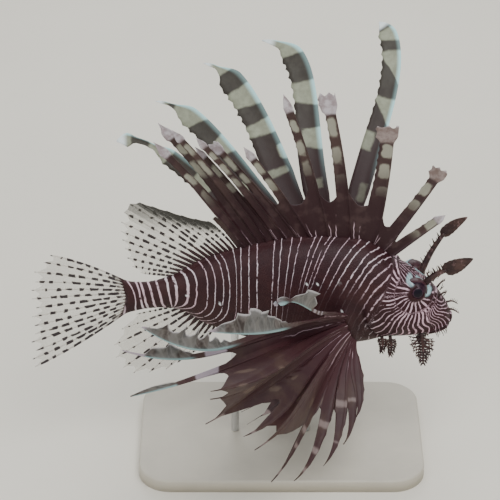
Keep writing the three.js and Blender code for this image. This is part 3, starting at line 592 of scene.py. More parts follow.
def skin_paint():
    body = bpy.context.scene.lionfish_body
    paint = Paint("lionfish_skin")
    gap = paint.value("line_gap")
    shift = paint.over(paint.spread(1.5, 170, 2.0, 0.6), paint.math("MAXIMUM", gap, 1.0))
    away = paint.times(paint.nearest(paint.plus(paint.value("line_count"), shift)), gap)
    half = paint.plus(paint.times(paint.value("line_width"), 0.5), paint.spread(0.5, 420))
    line = paint.times(paint.step(away, half, paint.minus(half, 0.42)), paint.value("line_strength"),
                       paint.patches(0.30, 0.44, 300))
    rosy = paint.value("rosy")
    ground = paint.mottled(body.dark_colour, (0.036, 0.010, 0.011), 0.35, 0.7, 60, 4.0, 0.65)
    ground = paint.mix(rosy, ground, (0.026, 0.0035, 0.0065), 0.8)
    # Painted shade: the mouth's groove and the nostrils are darkened to near black.
    ground = paint.mix(paint.value("deep"), ground, (0.008, 0.004, 0.005))
    line_colour = paint.mottled(body.line_colour, (0.66, 0.56, 0.60), 0.40, 0.62, 45)
    line_colour = paint.mix(rosy, line_colour, (0.60, 0.38, 0.46), 0.7)
    colour = paint.mix(line, ground, line_colour)
    colour = paint.mix(paint.value("patch"), colour, body.patch_colour)
    colour = paint.mix(paint.value("dot"), colour, (0.9, 0.92, 0.92))
    scales = paint.step(paint.cells(620), 0.0, 0.22)
    paint.relief(paint.plus(scales, paint.times(paint.noise(240, 3.0), 0.7)), 0.28, 0.0004)
    rough = paint.rise(0.40, 0.62, paint.noise(130, 3.0))
    return paint.set(Base_Color=colour, Roughness=rough, Specular_IOR_Level=0.24)


def marked(paint, name, scale=170, size=2.6, soft=0.6):
    """1 inside a mark whose edge is at 0 of an attribute in millimetres, with an uneven edge."""
    return paint.step(paint.plus(paint.value(name), paint.spread(size, scale, 3.0, 0.6)), -soft, soft)


def root_lines(paint, colour, reach, each=1):
    """Thin pale lines that wind up a fin's base, as many for each ray as each says."""
    place = paint.plus(paint.times(paint.value("ray_count"), each), 0.5, paint.spread(0.9, 110))
    away = paint.times(paint.nearest(place), paint.over(paint.value("ray_gap"), each))
    up = paint.plus(paint.value("ray_share"), paint.spread(reach * (each - 1) * 1.6, 75, 1.0))
    line = paint.times(paint.step(away, 0.62, 0.30), paint.step(up, reach, reach * 0.7),
                       paint.patches(0.36, 0.44, 95))
    return paint.mix(line, colour, bpy.context.scene.lionfish_body.line_colour, 0.8)


def pectoral_finish(paint, colour):
    """The skin-like surface that both pectoral fins have."""
    paint.relief(paint.noise(520, 4.0, 0.6), 0.3, 0.0003)
    rough = paint.rise(0.42, 0.62, paint.noise(150))
    return paint.set(Base_Color=colour, Roughness=rough, Specular_IOR_Level=0.3)


def far_pectoral_paint():
    fins = bpy.context.scene.lionfish_fins
    paint = Paint("pectoral_fin_left")
    share, across, upper = (paint.value(key) for key in ("ray_share", "ray_across", "upper"))
    pale = marked(paint, "mark", 120, 3.4, 1.1)
    tone = paint.mottled(fins.dark_band, (0.030, 0.024, 0.018), 0.3, 0.7, 120, 4.0, 0.6)
    tone = paint.mix(upper, (0.046, 0.021, 0.019), tone)
    dark = paint.mix(paint.step(share, 0.38, 0.84), (0.024, 0.0085, 0.009), tone)
    pale_tone = paint.mottled(fins.pale_band, (0.20, 0.205, 0.145), 0.25, 0.75, 200, 4.0, 0.6)
    outer = paint.step(share, 0.34, 0.62)
    colour = paint.mix(paint.times(pale, paint.rise(0.35, 1.0, outer)), dark, pale_tone)
    # Painted highlight along the feathers' front edges, on their outer part and strongest in the pale bands.
    rim = paint.times(paint.step(across, -0.42, -0.92), upper, outer, paint.rise(0.3, 1.0, pale))
    colour = paint.mix(rim, colour, fins.edge_highlight_colour)
    tip = paint.times(paint.step(share, 0.965, 0.985), upper)
    return pectoral_finish(paint, paint.mix(tip, colour, (0.72, 0.78, 0.78)))


def leaf_tone(paint, share, across, pale):
    """The colour of the near fin's leaves: streaked and veined, blue towards the shaft, pale at the edge."""
    crest = paint.mottled((0.032, 0.022, 0.019), (0.100, 0.084, 0.076), 0.38, 0.62, 150, 3.0, 0.6)
    swayed = paint.times(paint.noise(70, 3.0), 2.2)
    fanned = paint.plus(paint.times(share, 34), paint.times(across, 1.1), swayed)
    vein = paint.step(paint.nearest(fanned), 0.24, 0.05)
    crest = paint.mix(vein, crest, (0.20, 0.185, 0.175), 0.28)
    blade = paint.mix(pale, crest, (0.26, 0.28, 0.27), 0.2)
    blade = paint.mix(paint.step(across, -0.2, 0.7), blade, (0.24, 0.38, 0.38), 0.9)
    return paint.mix(paint.step(across, -0.84, -0.97), blade, (0.44, 0.41, 0.40), 0.7)


def near_pectoral_paint():
    paint = Paint("pectoral_fin_right")
    share, across = paint.value("ray_share"), paint.value("ray_across")
    pale = marked(paint, "mark", 170, 3.2, 1.1)
    web_tone = paint.mottled((0.040, 0.0145, 0.016), (0.058, 0.030, 0.024), 0.4, 0.65, 60, 4.0, 0.65)
    dark = paint.mix(paint.step(share, 0.25, 0.6), (0.050, 0.0145, 0.0185), web_tone)
    colour = paint.mix(marked(paint, "spot", 260, 3.4, 1.2), dark, (0.13, 0.088, 0.066), 0.65)
    band = paint.mix(paint.value("upper"), (0.22, 0.165, 0.155), (0.36, 0.30, 0.34))
    colour = paint.mix(pale, colour, band, 0.8)
    blade = leaf_tone(paint, share, across, pale)
    colour = paint.mix(paint.step(paint.value("leaf"), 0.04, 0.34), colour, blade)
    return pectoral_finish(paint, root_lines(paint, colour, 0.34))


def spine_paint():
    body, fins = bpy.context.scene.lionfish_body, bpy.context.scene.lionfish_fins
    paint = Paint("dorsal_spines")
    share = paint.value("ray_share")
    pale = paint.times(marked(paint, "mark"), paint.step(share, 0.36, 0.7))
    tone = paint.mottled((0.034, 0.016, 0.016), (0.052, 0.028, 0.024), 0.35, 0.65, 80, 3.0)
    dark = paint.mix(paint.step(share, 0.3, 0.6), body.dark_colour, tone)
    dark = paint.mix(paint.patches(0.5, 0.62, 60, 3.0, 0.6), dark, (0.10, 0.060, 0.055), 0.25)
    colour = paint.mix(pale, dark, (0.27, 0.26, 0.205), 0.95)
    from_tip = paint.times(paint.minus(1.0, share), paint.value("ray_length"))
    flag_length = paint.value("flag")
    flag = paint.step(from_tip, flag_length, paint.minus(flag_length, 2.5))
    brown = paint.mottled(fins.tip_colour, (0.145, 0.10, 0.088), 0.35, 0.65, 210, 4.0, 0.65)
    white = paint.mottled((0.46, 0.42, 0.44), (0.29, 0.235, 0.245), 0.35, 0.65, 260, 3.0)
    flag_colour = paint.mix(paint.value("upper"), white, brown)
    flag_colour = paint.mix(paint.step(from_tip, 2.6, 0.6), flag_colour, (0.66, 0.60, 0.60), 0.6)
    colour = root_lines(paint, paint.mix(flag, colour, flag_colour), 0.15, 2)
    paint.relief(paint.noise(700, 3.0, 0.6), 0.25, 0.0003)
    return paint.set(Base_Color=colour, Roughness=0.5, Specular_IOR_Level=0.3)


def clear_fin_paint(name, skirt):
    """A clear fin with rows of dark dashes. Skirt says how far up its rays the root's dark points reach."""
    paint = Paint(name)
    share, count, gap = (paint.value(key) for key in ("ray_share", "ray_count", "ray_gap"))
    off_ray = paint.times(paint.nearest(count), gap)
    phase = paint.plus(paint.times(share, SPOT_ROWS), paint.value("ray_turn"), paint.spread(0.8, 140, 1.0))
    long = paint.plus(paint.times(share, -0.24), paint.times(paint.noise(110, 1.0), 0.8), 0.02)
    size = paint.plus(0.8, paint.spread(1.5, 180, 1.0))
    spot = paint.times(paint.step(paint.nearest(phase), long, paint.minus(long, 0.07)),
                       paint.step(off_ray, size, paint.minus(size, 0.28)), paint.step(share, 0.06, 0.14))
    ray = paint.step(off_ray, 0.34, 0.16)
    tint = paint.mottled((0.50, 0.48, 0.40), (0.34, 0.31, 0.27), 0.35, 0.7, 40)
    colour = paint.mix(ray, tint, (0.28, 0.23, 0.20), 0.6)
    colour = paint.mix(spot, colour, (0.022, 0.014, 0.016))
    dusk = paint.times(paint.value("haze"), 0.75, paint.step(share, 0.40, 0.90))
    colour = paint.mix(paint.times(dusk, 2.2, clamp=True), colour, (0.034, 0.032, 0.026))
    point = paint.minus(1.0, paint.times(paint.nearest(count), 2.2))
    point = paint.times(point, paint.noise(60, 1.0), skirt)
    dark_root = paint.step(share, paint.plus(point, 0.06), paint.plus(point, 0.02))
    colour = paint.mix(dark_root, colour, (0.030, 0.010, 0.012))
    clear = bpy.context.scene.lionfish_fins.clear_alpha
    cover = paint.plus(clear, paint.times(ray, 0.16), dusk, dark_root, paint.times(spot, 0.95), clamp=True)
    paint.relief(paint.noise(800), 0.15, 0.0002)
    return paint.set(Base_Color=colour, Alpha=cover, Roughness=0.4, Specular_IOR_Level=0.35)


def pelvic_paint():
    paint = Paint("pelvic_fins")
    spots = paint.step(paint.cells(95, "F1"), 0.36, 0.22)
    spots = paint.times(spots, paint.step(paint.value("ray_share"), 0.2, 0.4))
    ground = bpy.context.scene.lionfish_body.dark_colour
    colour = paint.mottled(ground, (0.06, 0.028, 0.030), 0.4, 0.65, 70, 3.0)
    colour = paint.mix(spots, colour, (0.34, 0.26, 0.25), 0.7)
    paint.relief(paint.noise(600, 3.0), 0.25, 0.0003)
    return paint.set(Base_Color=colour, Roughness=0.45, Specular_IOR_Level=0.35)


def feeler_paint():
    paint = Paint("feelers")
    colour = paint.mottled((0.024, 0.010, 0.010), (0.062, 0.030, 0.025), 0.38, 0.66, 160, 3.0)
    flecks = paint.times(paint.patches(0.56, 0.64, 420), paint.step(paint.value("ray_share"), 0.1, 0.5))
    colour = paint.mix(flecks, colour, (0.22, 0.13, 0.13), 0.4)
    paint.relief(paint.noise(900, 3.0), 0.3, 0.0003)
    return paint.set(Base_Color=colour, Roughness=0.5, Specular_IOR_Level=0.3)


def eye_paint():
    paint = Paint("eye")
    polar = paint.value("from_middle")
    iris = paint.mottled((0.012, 0.003, 0.009), (0.034, 0.010, 0.020), 0.35, 0.65, 420, 3.0)
    colour = paint.mix(paint.step(polar, 0.34, 0.39), (0.005, 0.003, 0.008), iris)
    ring = paint.times(paint.step(polar, 0.34, 0.38), paint.step(polar, 0.46, 0.42))
    colour = paint.mix(ring, colour, (0.16, 0.09, 0.13), 0.12)
    colour = paint.mix(paint.step(polar, 0.92, 1.05), colour, (0.05, 0.02, 0.025))
    paint.relief(paint.noise(300), 0.03, 0.0001)
    return paint.set(Base_Color=colour, Roughness=0.3, Specular_IOR_Level=0.16, Coat_Weight=0.05)


def plain_paint(name, colour, other, scale, **sockets):
    """A faintly mottled paint or metal."""
    paint = Paint(name)
    paint.relief(paint.noise(scale * 14, 3.0), 0.12, 0.0002)
    return paint.set(Base_Color=paint.mottled(colour, other, 0.35, 0.7, scale, 4.0, 0.6), **sockets)


def skin_rows():
    """Places along the body, closer together on the head."""
    trunk_step, head_step = ROW_STEPS
    trunk = np.arange(TAIL_END, HEAD_START, trunk_step)
    head = np.arange(HEAD_START, SNOUT, head_step)
    return np.concatenate([trunk, head, [SNOUT]])


def away_from(points, place, degrees):
    """Distance of skin points from a place some degrees down from the back, on each point's own side."""
    side = np.where(points[..., 1] < 0, -1.0, 1.0)
    return np.linalg.norm(points - body_point(np.float64(place), np.radians(degrees) * side), axis=-1)


def gill_relief(x, y, z):
    """A gill cover is raised, with a groove behind it."""
    line = rounded(GILL_COVER, 60)
    away, within = line_distance(x, z, line, True), inside(x, z, line)
    groove = 1.3 * bump(away, 1.1) * ease(64, 56, x)
    return np.where(within, 0.9 * ease(0, 1.6, away), -groove) * ease(6, 11, np.abs(y))


def mouth_relief(x, z):
    """Lips beside the mouth's groove, and a shallow fold beyond them that is deeper below."""
    away = line_distance(x, z, MOUTH_LINE)
    along, height = np.array(MOUTH_LINE[::-1]).T
    fold = 0.6 * bump(away - 4.2, 1.4) * np.where(z < np.interp(x, along, height), 1, 0.6)
    return (1.1 * bump(away - 1.7, 1.0) - 1.7 * bump(away, 0.55) - fold) * ease(88, 93, x)


def small_relief(points, turn):
    """The ridge of the back, the hollow between the brows, bumps, small spines, nostrils and fin bases."""
    x, y, z = np.moveaxis(points, -1, 0)
    move = 1.2 * bump(turn, 0.10) * ease(66, 60, x) * ease(-78, -70, x)
    move -= 1.3 * bump(turn, 0.33) * bump(x - 84, 9)
    for place, degrees, height in NAPE_BUMPS:
        move += 0.8 * height * bump(away_from(points, place, degrees), 1.5)
    for place, height in CHEEK_SPINES:
        move += 0.9 * bump(np.hypot(x - place, z - height), 1.1) * ease(3, 8, np.abs(y))
    for place, degrees in NOSTRILS:
        away = away_from(points, place, degrees)
        move += 0.7 * bump(away - 1.3, 0.5) - 1.0 * bump(away, 0.7)
    base_away = line_distance(x, z, [PECTORAL_TOP, PECTORAL_BOTTOM])
    return move + 2.6 * bump(base_away, 4.2) * ease(4, 12, np.abs(y))


def eyelid_move(points, on_side, sign):
    """How far skin points move along one eye's aim, for the lids' rim and the opening between them."""
    aim = mirrored(EYE_AIM, sign)
    offset = points - mirrored(EYE, sign)
    along = offset @ aim
    off = np.linalg.norm(offset - along[..., None] * aim, axis=-1)
    ball = np.sqrt(np.clip(EYE_RADIUS ** 2 - off ** 2, 0, None))
    rim = 1.5 * bump(off - LID_RADIUS - 1.3, 1.6) + 1.5 * bump(off - LID_RADIUS - 2, 3)
    lid = along + rim * (1 + 0.5 * ease(-2, 6, points[..., 2] - EYE.z))
    lid = np.where(off < EYE_RADIUS, np.maximum(lid, ball + 0.7), lid)
    want = np.where(off < LID_RADIUS, np.minimum(along, ball - 0.9), lid)
    move = np.where(on_side & (along > 0) & (off < EYE_REACH), want - along, 0.0)
    return move[..., None] * aim


def displaced(points, angles):
    """Moves skin points for all that stands out of the body's plain shape, and hollows its rear end."""
    x, y, z = np.moveaxis(points, -1, 0)
    outward = np.stack([np.zeros_like(x), np.sin(angles), np.cos(angles)], -1)
    turn = turn_from_back(angles)
    move = gill_relief(x, y, z) + mouth_relief(x, z) + small_relief(points, turn)
    result = points + outward * move[..., None]
    for sign in SIDES.values():
        result += eyelid_move(result, (y < 0) == (sign < 0), sign)
    middle, half, _ = section(x)
    result[..., 0] += TAIL_NOTCH * ease(-97, TAIL_END, x) * (1 - ((z - middle) / half) ** 2)
    return result


def slant(back_place):
    """How far a line leans towards the tail for each millimetre down the flank."""
    return 0.78 * ease(-24, 62, back_place) - 0.33 * ease(-72, -86, back_place)


def sway(back_place, turn):
    """How far a line on the rear trunk bulges forward on the flank and runs back on the belly."""
    share = turn / math.pi
    reach = ease(-82, -68, back_place) * ease(-30, -46, back_place)
    return reach * (6.5 * np.sin(math.pi * np.minimum(share / 0.8, 1)) - 12 * ease(0.55, 1, share))


def trunk_lines(x, turn):
    """Count, spacing, width and strength of the trunk's lines, followed up to where each meets the back."""
    _, half, width = section(x)
    drop = turn / (math.pi / 2) * 0.5 * (half + width) * 1.25
    drop = np.minimum(drop, 46 + 0.25 * (drop - 46))
    back_place = x.copy()
    for _ in range(6):
        back_place = x + slant(back_place) * drop - sway(back_place, turn)
    count = np.interp(back_place, LINE_PLACES, np.arange(len(LINE_PLACES), dtype=float))
    middles = (np.array(LINE_PLACES[1:]) + LINE_PLACES[:-1]) / 2
    gap = np.interp(back_place, middles, np.diff(LINE_PLACES)) * (1 - 0.35 * ease(10, 62, back_place))
    line_width = bpy.context.scene.lionfish_body.line_width / MM * (0.78 + 0.75 * ease(-48, -80, x))
    strength = 1 - ease(24, 34, drop) * ease(-12, 2, x) * ease(52, 44, x) * 0.97
    return count, gap, line_width, strength * (1 - 0.5 * ease(60, 75, drop))


def head_lines(x, y, z):
    """The same for the head's lines: spokes round the eye, and slanting lines on the crown."""
    dx, dz = x - EYE.x, z - EYE.z
    away, direction = np.hypot(dx, dz), np.arctan2(dz, dx)
    in_front = (away > SPOKES_DOUBLE + 3) & (np.abs(direction + 0.4) < 0.75)
    twice = np.where(away > SPOKES_DOUBLE, 2, 1) * np.where(in_front, 2, 1)
    wander = 0.14 * np.sin(away * 0.35) + 0.045 * np.sin(away * 0.55 + direction * 4)
    count = (direction / (2 * math.pi) * HEAD_SPOKES + wander + 0.5) * twice
    gap = 2 * math.pi * np.maximum(away, 1) / (HEAD_SPOKES * twice)
    line_width = 1.0 + 0.32 * np.sin(direction * 7 + 0.2 * away) + 0.45 * bump(direction + 1.5, 0.6)
    line_width = np.where(twice > 2, 0.75, line_width)
    start, above, pitch = CROWN
    crown = (dz > above) & (x > start)
    count = np.where(crown, (0.6 * dx - 0.8 * np.abs(y)) / pitch, count)
    gap = np.where(crown, pitch, gap)
    line_width = np.where(crown, 0.85, line_width)
    return count, gap, line_width, ease(5.3, 6.8, away) * (1 - 0.9 * ease(-29, -34, z))


def eye_patches(x, y, z):
    """The pale patches behind and before the eye, and the streak over it."""
    patch = 0.6 * ease(2.8, 1.5, np.hypot(x - 77.5, (z - 14) * 0.9))
    patch = np.maximum(patch, 0.95 * ease(3.4, 1.9, np.hypot((x - 90) * 0.9, z - 5.0)))
    streak = line_distance(x, z, [(83, 13.6), (86, 11), (87.5, 7.5)])
    return np.maximum(patch, 0.8 * ease(1.3, 0.7, streak)) * ease(2, 6, np.abs(y))


def line_fields(points, angles):
    """The values at each skin point that the skin's paint reads."""
    x, y, z = np.moveaxis(points, -1, 0)
    turn = turn_from_back(angles)
    start, level, lean = HEAD_LINES
    boundary = start + lean * (z - level)
    count, gap, line_width, strength = (
        np.where(x > boundary, on_head, on_trunk)
        for on_head, on_trunk in zip(head_lines(x, y, z), trunk_lines(x, turn)))
    under = ease(-27, -33, z) * ease(40, 55, x)
    strength = strength * ease(0, 1.4, np.abs(x - boundary)) * (1 - 0.7 * under)
    # Painted shade for the skin's paint: dark along the mouth's groove and in the nostrils.
    deep = bump(line_distance(x, z, MOUTH_LINE), 0.7) * ease(89, 92, x)
    for place, degrees in NOSTRILS:
        deep = np.maximum(deep, bump(away_from(points, place, degrees), 0.8))
    dot = np.zeros_like(x)
    for place, height in LATERAL_DOTS:
        dot = np.maximum(dot, ease(0.95, 0.45, np.hypot(x - place, z - height)))
    return {"line_count": count, "line_gap": gap, "line_width": line_width, "line_strength": strength,
            "patch": eye_patches(x, y, z), "deep": deep, "dot": dot * ease(2, 5, np.abs(y)),
            "rosy": ease(54, 70, x)}


def sleeve_faces(rows, around, start=0):
    """Faces of a sleeve of closed rings, one ring of points after the other."""
    faces = []
    for i in range(rows - 1):
        for j in range(around):
            k = (j + 1) % around
            a, b = start + i * around + j, start + i * around + k
            faces.append((a, b, b + around, a + around))
    return faces


def end_faces(rows, around, start=0):
    """One flat face over each end of such a sleeve."""
    last = start + (rows - 1) * around
    return [tuple(start + j for j in range(around))[::-1], tuple(last + j for j in range(around))]


def nose_rings(ring):
    """Smaller and smaller rings that round off the snout."""
    centre = ring.mean(0)
    rings = []
    for share in (0.35, 0.65, 0.85, 0.96):
        smaller = centre + (ring - centre) * math.sqrt(1 - share ** 2)
        smaller[:, 0] += 1.6 * share
        rings.append(smaller)
    return np.array(rings)


def make_skin():
    around = bpy.context.scene.lionfish_body.around
    turns = -2 * math.pi * np.arange(around) / around
    grid_x, grid_turn = np.meshgrid(skin_rows(), turns, indexing="ij")
    plain = body_point(grid_x, grid_turn)
    points = displaced(plain, grid_turn)
    nose = nose_rings(points[-1])
    points = np.concatenate([points, nose])
    rows, size = len(points), points[..., 0].size
    faces = sleeve_faces(rows, around)
    last = (rows - 1) * around
    faces += [((j + 1) % around, j, size) for j in range(around)]
    faces += [(last + j, last + (j + 1) % around, size + 1) for j in range(around)]
    hubs = [points[0].mean(0), points[-1].mean(0)]
    attributes = {
        key: np.concatenate([values.ravel(), np.tile(values[-1], len(nose)), [0, 0]])
        for key, values in line_fields(plain, grid_turn).items()}
    piece = make_mesh("skin", np.concatenate([points.reshape(-1, 3), hubs]), faces, attributes)
    finish_piece(piece, "skin", skin_paint(), "head", "lower_jaw", "gill_cover_left", "gill_cover_right",
                 "trunk", "tail_stock")


class Bundle:
    """Collects many small closed shapes into one mesh."""

    def __init__(self):
        self.points, self.faces, self.shares = [], [], []

    def sweep(self, route, wide, thick, across, steps, around):
        """A tapered bar along a curve; wide and thick give half sizes by the share of its length."""
        start = len(self.points)
        across = np.asarray(across, float)
        for i in range(steps + 1):
            t = i / steps
            middle = place_on(route, t)
            along = unit(place_on(route, min(t + 0.01, 1)) - place_on(route, max(t - 0.01, 0)))
            side = unit(across - along * (across @ along))
            up = np.cross(along, side)
            for j in range(around):
                angle = 2 * math.pi * j / around
                out = side * wide(t) * math.cos(angle) + up * thick(t) * math.sin(angle)
                self.points.append(middle + out)
                self.shares.append(t)
        self.faces += sleeve_faces(steps + 1, around, start)
        self.faces += end_faces(steps + 1, around, start)

    def rod(self, route, half, thinner, steps, around):
        """A round bar along a curve. Half is its radius at the start, thinner what it loses to the end."""

        def taper(t):
            return half - thinner * t

        self.sweep(route, taper, taper, (0, 1, 0), steps, around)

    def twig(self, start, end, half, thinner, steps, around, off=(0, 0, 0)):
        """A rod between two places, with its middle moved by off. Gives its route."""
        route = [start, (start + end) / 2 + np.array(off), end]
        self.rod(route, half, thinner, steps, around)
        return route

    def mesh(self, name):
        return make_mesh(name, np.array(self.points), self.faces, {"ray_share": self.shares})


def across_places(rod_at):
    """Places across a ray, from its front edge at -1 to its rear edge at 1, close together at its rod."""
    places = [-1, -0.65, -0.3, 0, 0.3, 0.65, 1, *(rod_at + v for v in (-0.26, -0.11, 0, 0.11, 0.26))]
    return sorted({round(limited(v, -1.0, 1.0), 3) for v in places})


def band_distance(bands, t, s, length, half):
    """How far inside a pale band a place on a ray is, in millimetres. Outside it, this is below 0."""
    best = np.full(len(t), OUTSIDE)
    for high, low_front, low_rear, *ends in bands:
        first, last = ends or (-3, 3)
        low = low_front + (low_rear - low_front) * (s + 1) / 2
        sides = np.minimum((s - first) * half, (last - s) * half)
        best = np.maximum(best, np.minimum(np.minimum((high - t) * length, (t - low) * length), sides))
    return best


def row_of_spots(t, s, length, half, row, first, last):
    """The same for rounded spots of a row given as the first spot's place below the tip, pitch and number."""
    start, pitch, number = row
    from_tip = (1 - t) * length - start
    nearest = np.clip(np.round(from_tip / pitch), 0, number - 1)
    along = from_tip - nearest * pitch
    uneven = np.sin(2.4 * nearest + start)
    tall = 0.31 * pitch * (1 + 0.22 * uneven)
    middle, wide = (first + last) / 2 + 0.1 * uneven, (last - first) / 2
    out = (np.abs(along / tall) ** 4 + np.abs((s - middle) / wide) ** 4) ** 0.25
    return (1 - out) * np.minimum(tall, wide * half)


def ray_shares():
    """Shares of a ray's length, one for each of its rows."""
    return np.linspace(0, 1, bpy.context.scene.lionfish_fins.ray_rows)


def at_shares(curve, wanted):
    """Places on a curve of even steps, at wanted shares of it."""
    shares = np.linspace(0, 1, len(curve))
    return np.stack([np.interp(wanted, shares, curve[:, i]) for i in range(3)], -1)


def nothing(k, t, s):
    return 0.0


def across_ray(rays, k, facing):
    """Unit directions across a ray, towards the next one, and at right angles to the fin, at each place.

    Where facing is 1 the ray's blade stands up, square to the side that the fin is shown from.
    """
    ray = rays[k]
    before, after = rays[max(k - 1, 0)], rays[min(k + 1, len(rays) - 1)]
    along = unit(np.gradient(ray, axis=0))

    def square(way):
        return unit(way - along * np.sum(way * along, 1, keepdims=True))

    across = square(after - before)
    flips = np.cumsum(np.concatenate([[0], np.sum(across[1:] * across[:-1], 1) < 0]))
    across = across * np.where((flips - flips[len(flips) // 2]) % 2, -1.0, 1.0)[:, None]
    standing = np.cross(VIEW_DIRECTION, along)
    standing = square(standing * np.sign(np.sum(standing * across, 1, keepdims=True)))
    share = np.array([facing(k, t) for t in np.linspace(0, 1, len(ray))])[:, None]
    across = square(across * (1 - share) + standing * share)
    return across, np.cross(along, across)


def half_widths(rays, width, shares):
    """Each ray's half widths to its front and its rear, within the room to the rays beside it."""
    result = []
    for k, ray in enumerate(rays):
        front, rear = np.array([width(k, t) for t in shares]).T
        wider_front = front > rear
        if k > 0:
            room = np.linalg.norm(rays[k - 1] - ray, axis=1)
            front = np.minimum(front, np.where(wider_front, WIDER_ROOM, NARROWER_ROOM) * room)
        if k < len(rays) - 1:
            room = np.linalg.norm(rays[k + 1] - ray, axis=1)
            rear = np.minimum(rear, np.where(wider_front, NARROWER_ROOM, WIDER_ROOM) * room)
        result.append((front, rear))
    return result


def web_column(m, near_edge, far_edge, normals, joined, shares):
    """Places, directions and shares of the membrane at m of the way from one ray's edge to the next one's."""
    last_share = max(joined)
    wanted = np.interp(m, np.linspace(0, 1, len(joined)), joined) / last_share
    pulled = shares * (1 - (1 - wanted) * np.minimum(shares / last_share, 1) ** 2)
    near_side, far_side = at_shares(near_edge, pulled), at_shares(far_edge, pulled)
    sag = 0.03 * math.sin(math.pi * m) * np.linalg.norm(far_side - near_side, axis=1)
    normal = unit(normals[0] * (1 - m) + normals[1] * m)
    return near_side * (1 - m) + far_side * m + normal * sag[:, None], normal, pulled


def spot_depth(values, spots):
    """How far inside a round spot each place is, in millimetres."""
    depth = np.full(len(values["ray_share"]), OUTSIDE)
    for ray_number, share, size in spots:
        off = np.hypot((values["ray_share"] - share) * values["ray_length"] * SPOT_SHAPE,
                       (values["ray_count"] - ray_number) * values["ray_gap"])
        depth = np.maximum(depth, size - off)
    return depth


def fin_values(columns, rays, spots, per_ray):
    """The attributes of a fin's two skins: those of its columns, those of its rays, and its spots."""
    keys = [key for key in columns[0] if key not in ("points", "normal", "thick", "until")]
    values = {key: np.tile(np.concatenate([column[key] for column in columns]), 2) for key in keys}
    whole = np.clip(np.round(values["ray_count"]), 0, len(rays) - 1).astype(int)
    lengths = [np.linalg.norm(np.diff(ray, axis=0), axis=1).sum() for ray in rays]
    for key, ray_values in (("ray_length", lengths), *per_ray.items()):
        values[key] = np.array(ray_values, float)[whole]
    values["spot"] = spot_depth(values, spots)
    return values


def fin_mesh(name, rays, joined, width, rod, membrane, rod_at=0.0, lift=nothing, fray=nothing,
             facing=lambda k, t: 0.0, marks=None, spots=(), **per_ray):
    """A fin of rays side by side, joined by membrane up to a share of each ray's length.

    rays[k] is an array of places from root to tip. joined[k] is the membrane's edge from ray k to the next.
    width(k, t) gives a ray's half widths to its front and its rear, rod(k, t) and membrane(k, t) its
    thicknesses. rod_at is the rod's place across the ray. lift(k, t, s) moves a place off the fin's own
    surface, fray(k, t, s) shortens the ray's end, facing(k, t) turns its blade to the side that is shown.
    marks names attributes as functions of (k, t, s, half) with their value on the membrane. spots lists
    round spots as ray, share and size. Other values name attributes that each ray has one of.
    """
    rows, count = len(rays[0]), len(rays)
    shares = np.linspace(0, 1, rows)
    marks = marks or {}
    columns = []
    directions = [across_ray(rays, k, facing) for k in range(count)]
    halves = half_widths(rays, width, shares)
    for k, ray in enumerate(rays):
        across, normal = directions[k]
        thin, stout = (np.array([form(k, t) for t in shares]) for form in (membrane, rod))
        spacing = np.linalg.norm(rays[min(k + 1, count - 1)] - rays[max(k - 1, 0)], axis=1)
        spacing /= 2 if 0 < k < count - 1 else 1
        reach = max(2, int(round(max(joined[k]) * (rows - 1)))) if k < count - 1 else 0
        for s in across_places(rod_at):
            half = halves[k][0] if s < 0 else halves[k][1]
            here = shares * (1 - np.array([fray(k, t, s) for t in shares]))
            off = np.array([lift(k, t, s) for t in shares])
            edge = at_shares(ray, here) + across * (s * half)[:, None] + normal * off[:, None]
            near = float(bump(s - rod_at, 0.16))
            thick = thin * (1 - 0.4 * max(0.0, abs(s) - 0.5) * 2) + (stout - thin) * near
            columns.append(dict(
                points=edge, normal=normal, thick=np.maximum(thick, THINNEST),
                until=rows - 1 if s < 1 else reach, ray_share=here, ray_across=np.full(rows, s),
                ray_count=np.full(rows, k + 0.1 * s), ray_gap=spacing,
                **{key: mark(k, here, s, half) for key, (mark, _) in marks.items()}))
        if k == count - 1:
            continue
        next_across, next_normal = directions[k + 1]
        off = np.array([lift(k + 1, t, -1.0) for t in shares])
        far_edge = rays[k + 1] - next_across * halves[k + 1][0][:, None] + next_normal * off[:, None]
        for m in WEB_PLACES:
            points, blended, pulled = web_column(m, edge, far_edge, (normal, next_normal), joined[k], shares)
            columns.append(dict(
                points=points, normal=blended, thick=np.maximum(thin * 0.8, THINNEST), until=reach,
                ray_share=pulled, ray_across=np.zeros(rows), ray_count=np.full(rows, k + 0.1 + 0.8 * m),
                ray_gap=spacing, **{key: np.full(rows, value) for key, (_, value) in marks.items()}))

    points, faces = plate_between(columns, rows)
    values = fin_values(columns, rays, spots, per_ray)
    used, numbers = np.unique(np.array(faces), return_inverse=True)
    faces = numbers.reshape(len(faces), 4)
    return make_mesh(name, points[used], faces, {key: v[used] for key, v in values.items()})


def plate_between(columns, rows):
    """The two skins of a fin and the walls along its edges, from columns of places side by side."""
    front = np.concatenate([c["points"] + c["normal"] * c["thick"][:, None] / 2 for c in columns])
    back = np.concatenate([c["points"] - c["normal"] * c["thick"][:, None] / 2 for c in columns])
    shift, faces = len(front), []

    def solid(column, row):
        return 0 <= column < len(columns) - 1 and 0 <= row < columns[column]["until"]

    for column in range(len(columns) - 1):
        for row in range(columns[column]["until"]):
            a, b = column * rows + row, (column + 1) * rows + row
            c, d = a + 1, b + 1
            faces.append((a, c, d, b))
            faces.append((a + shift, b + shift, d + shift, c + shift))
            for p, q, there in ((a, b, solid(column, row - 1)), (d, c, solid(column, row + 1)),
                                (c, a, solid(column - 1, row)), (b, d, solid(column + 1, row))):
                if not there:
                    faces.append((p, q, q + shift, p + shift))
    return np.concatenate([front, back]), faces


def arch(t):
    """The share of its bulge that a ray shows at t: most in the middle, none at its ends."""
    return 4 * t * (1 - t)


def hook(t):
    """The share of its bulge that a ray shows at t: most near the end, none at the tip."""
    return 9.5 * t ** 3 * (1 - t)


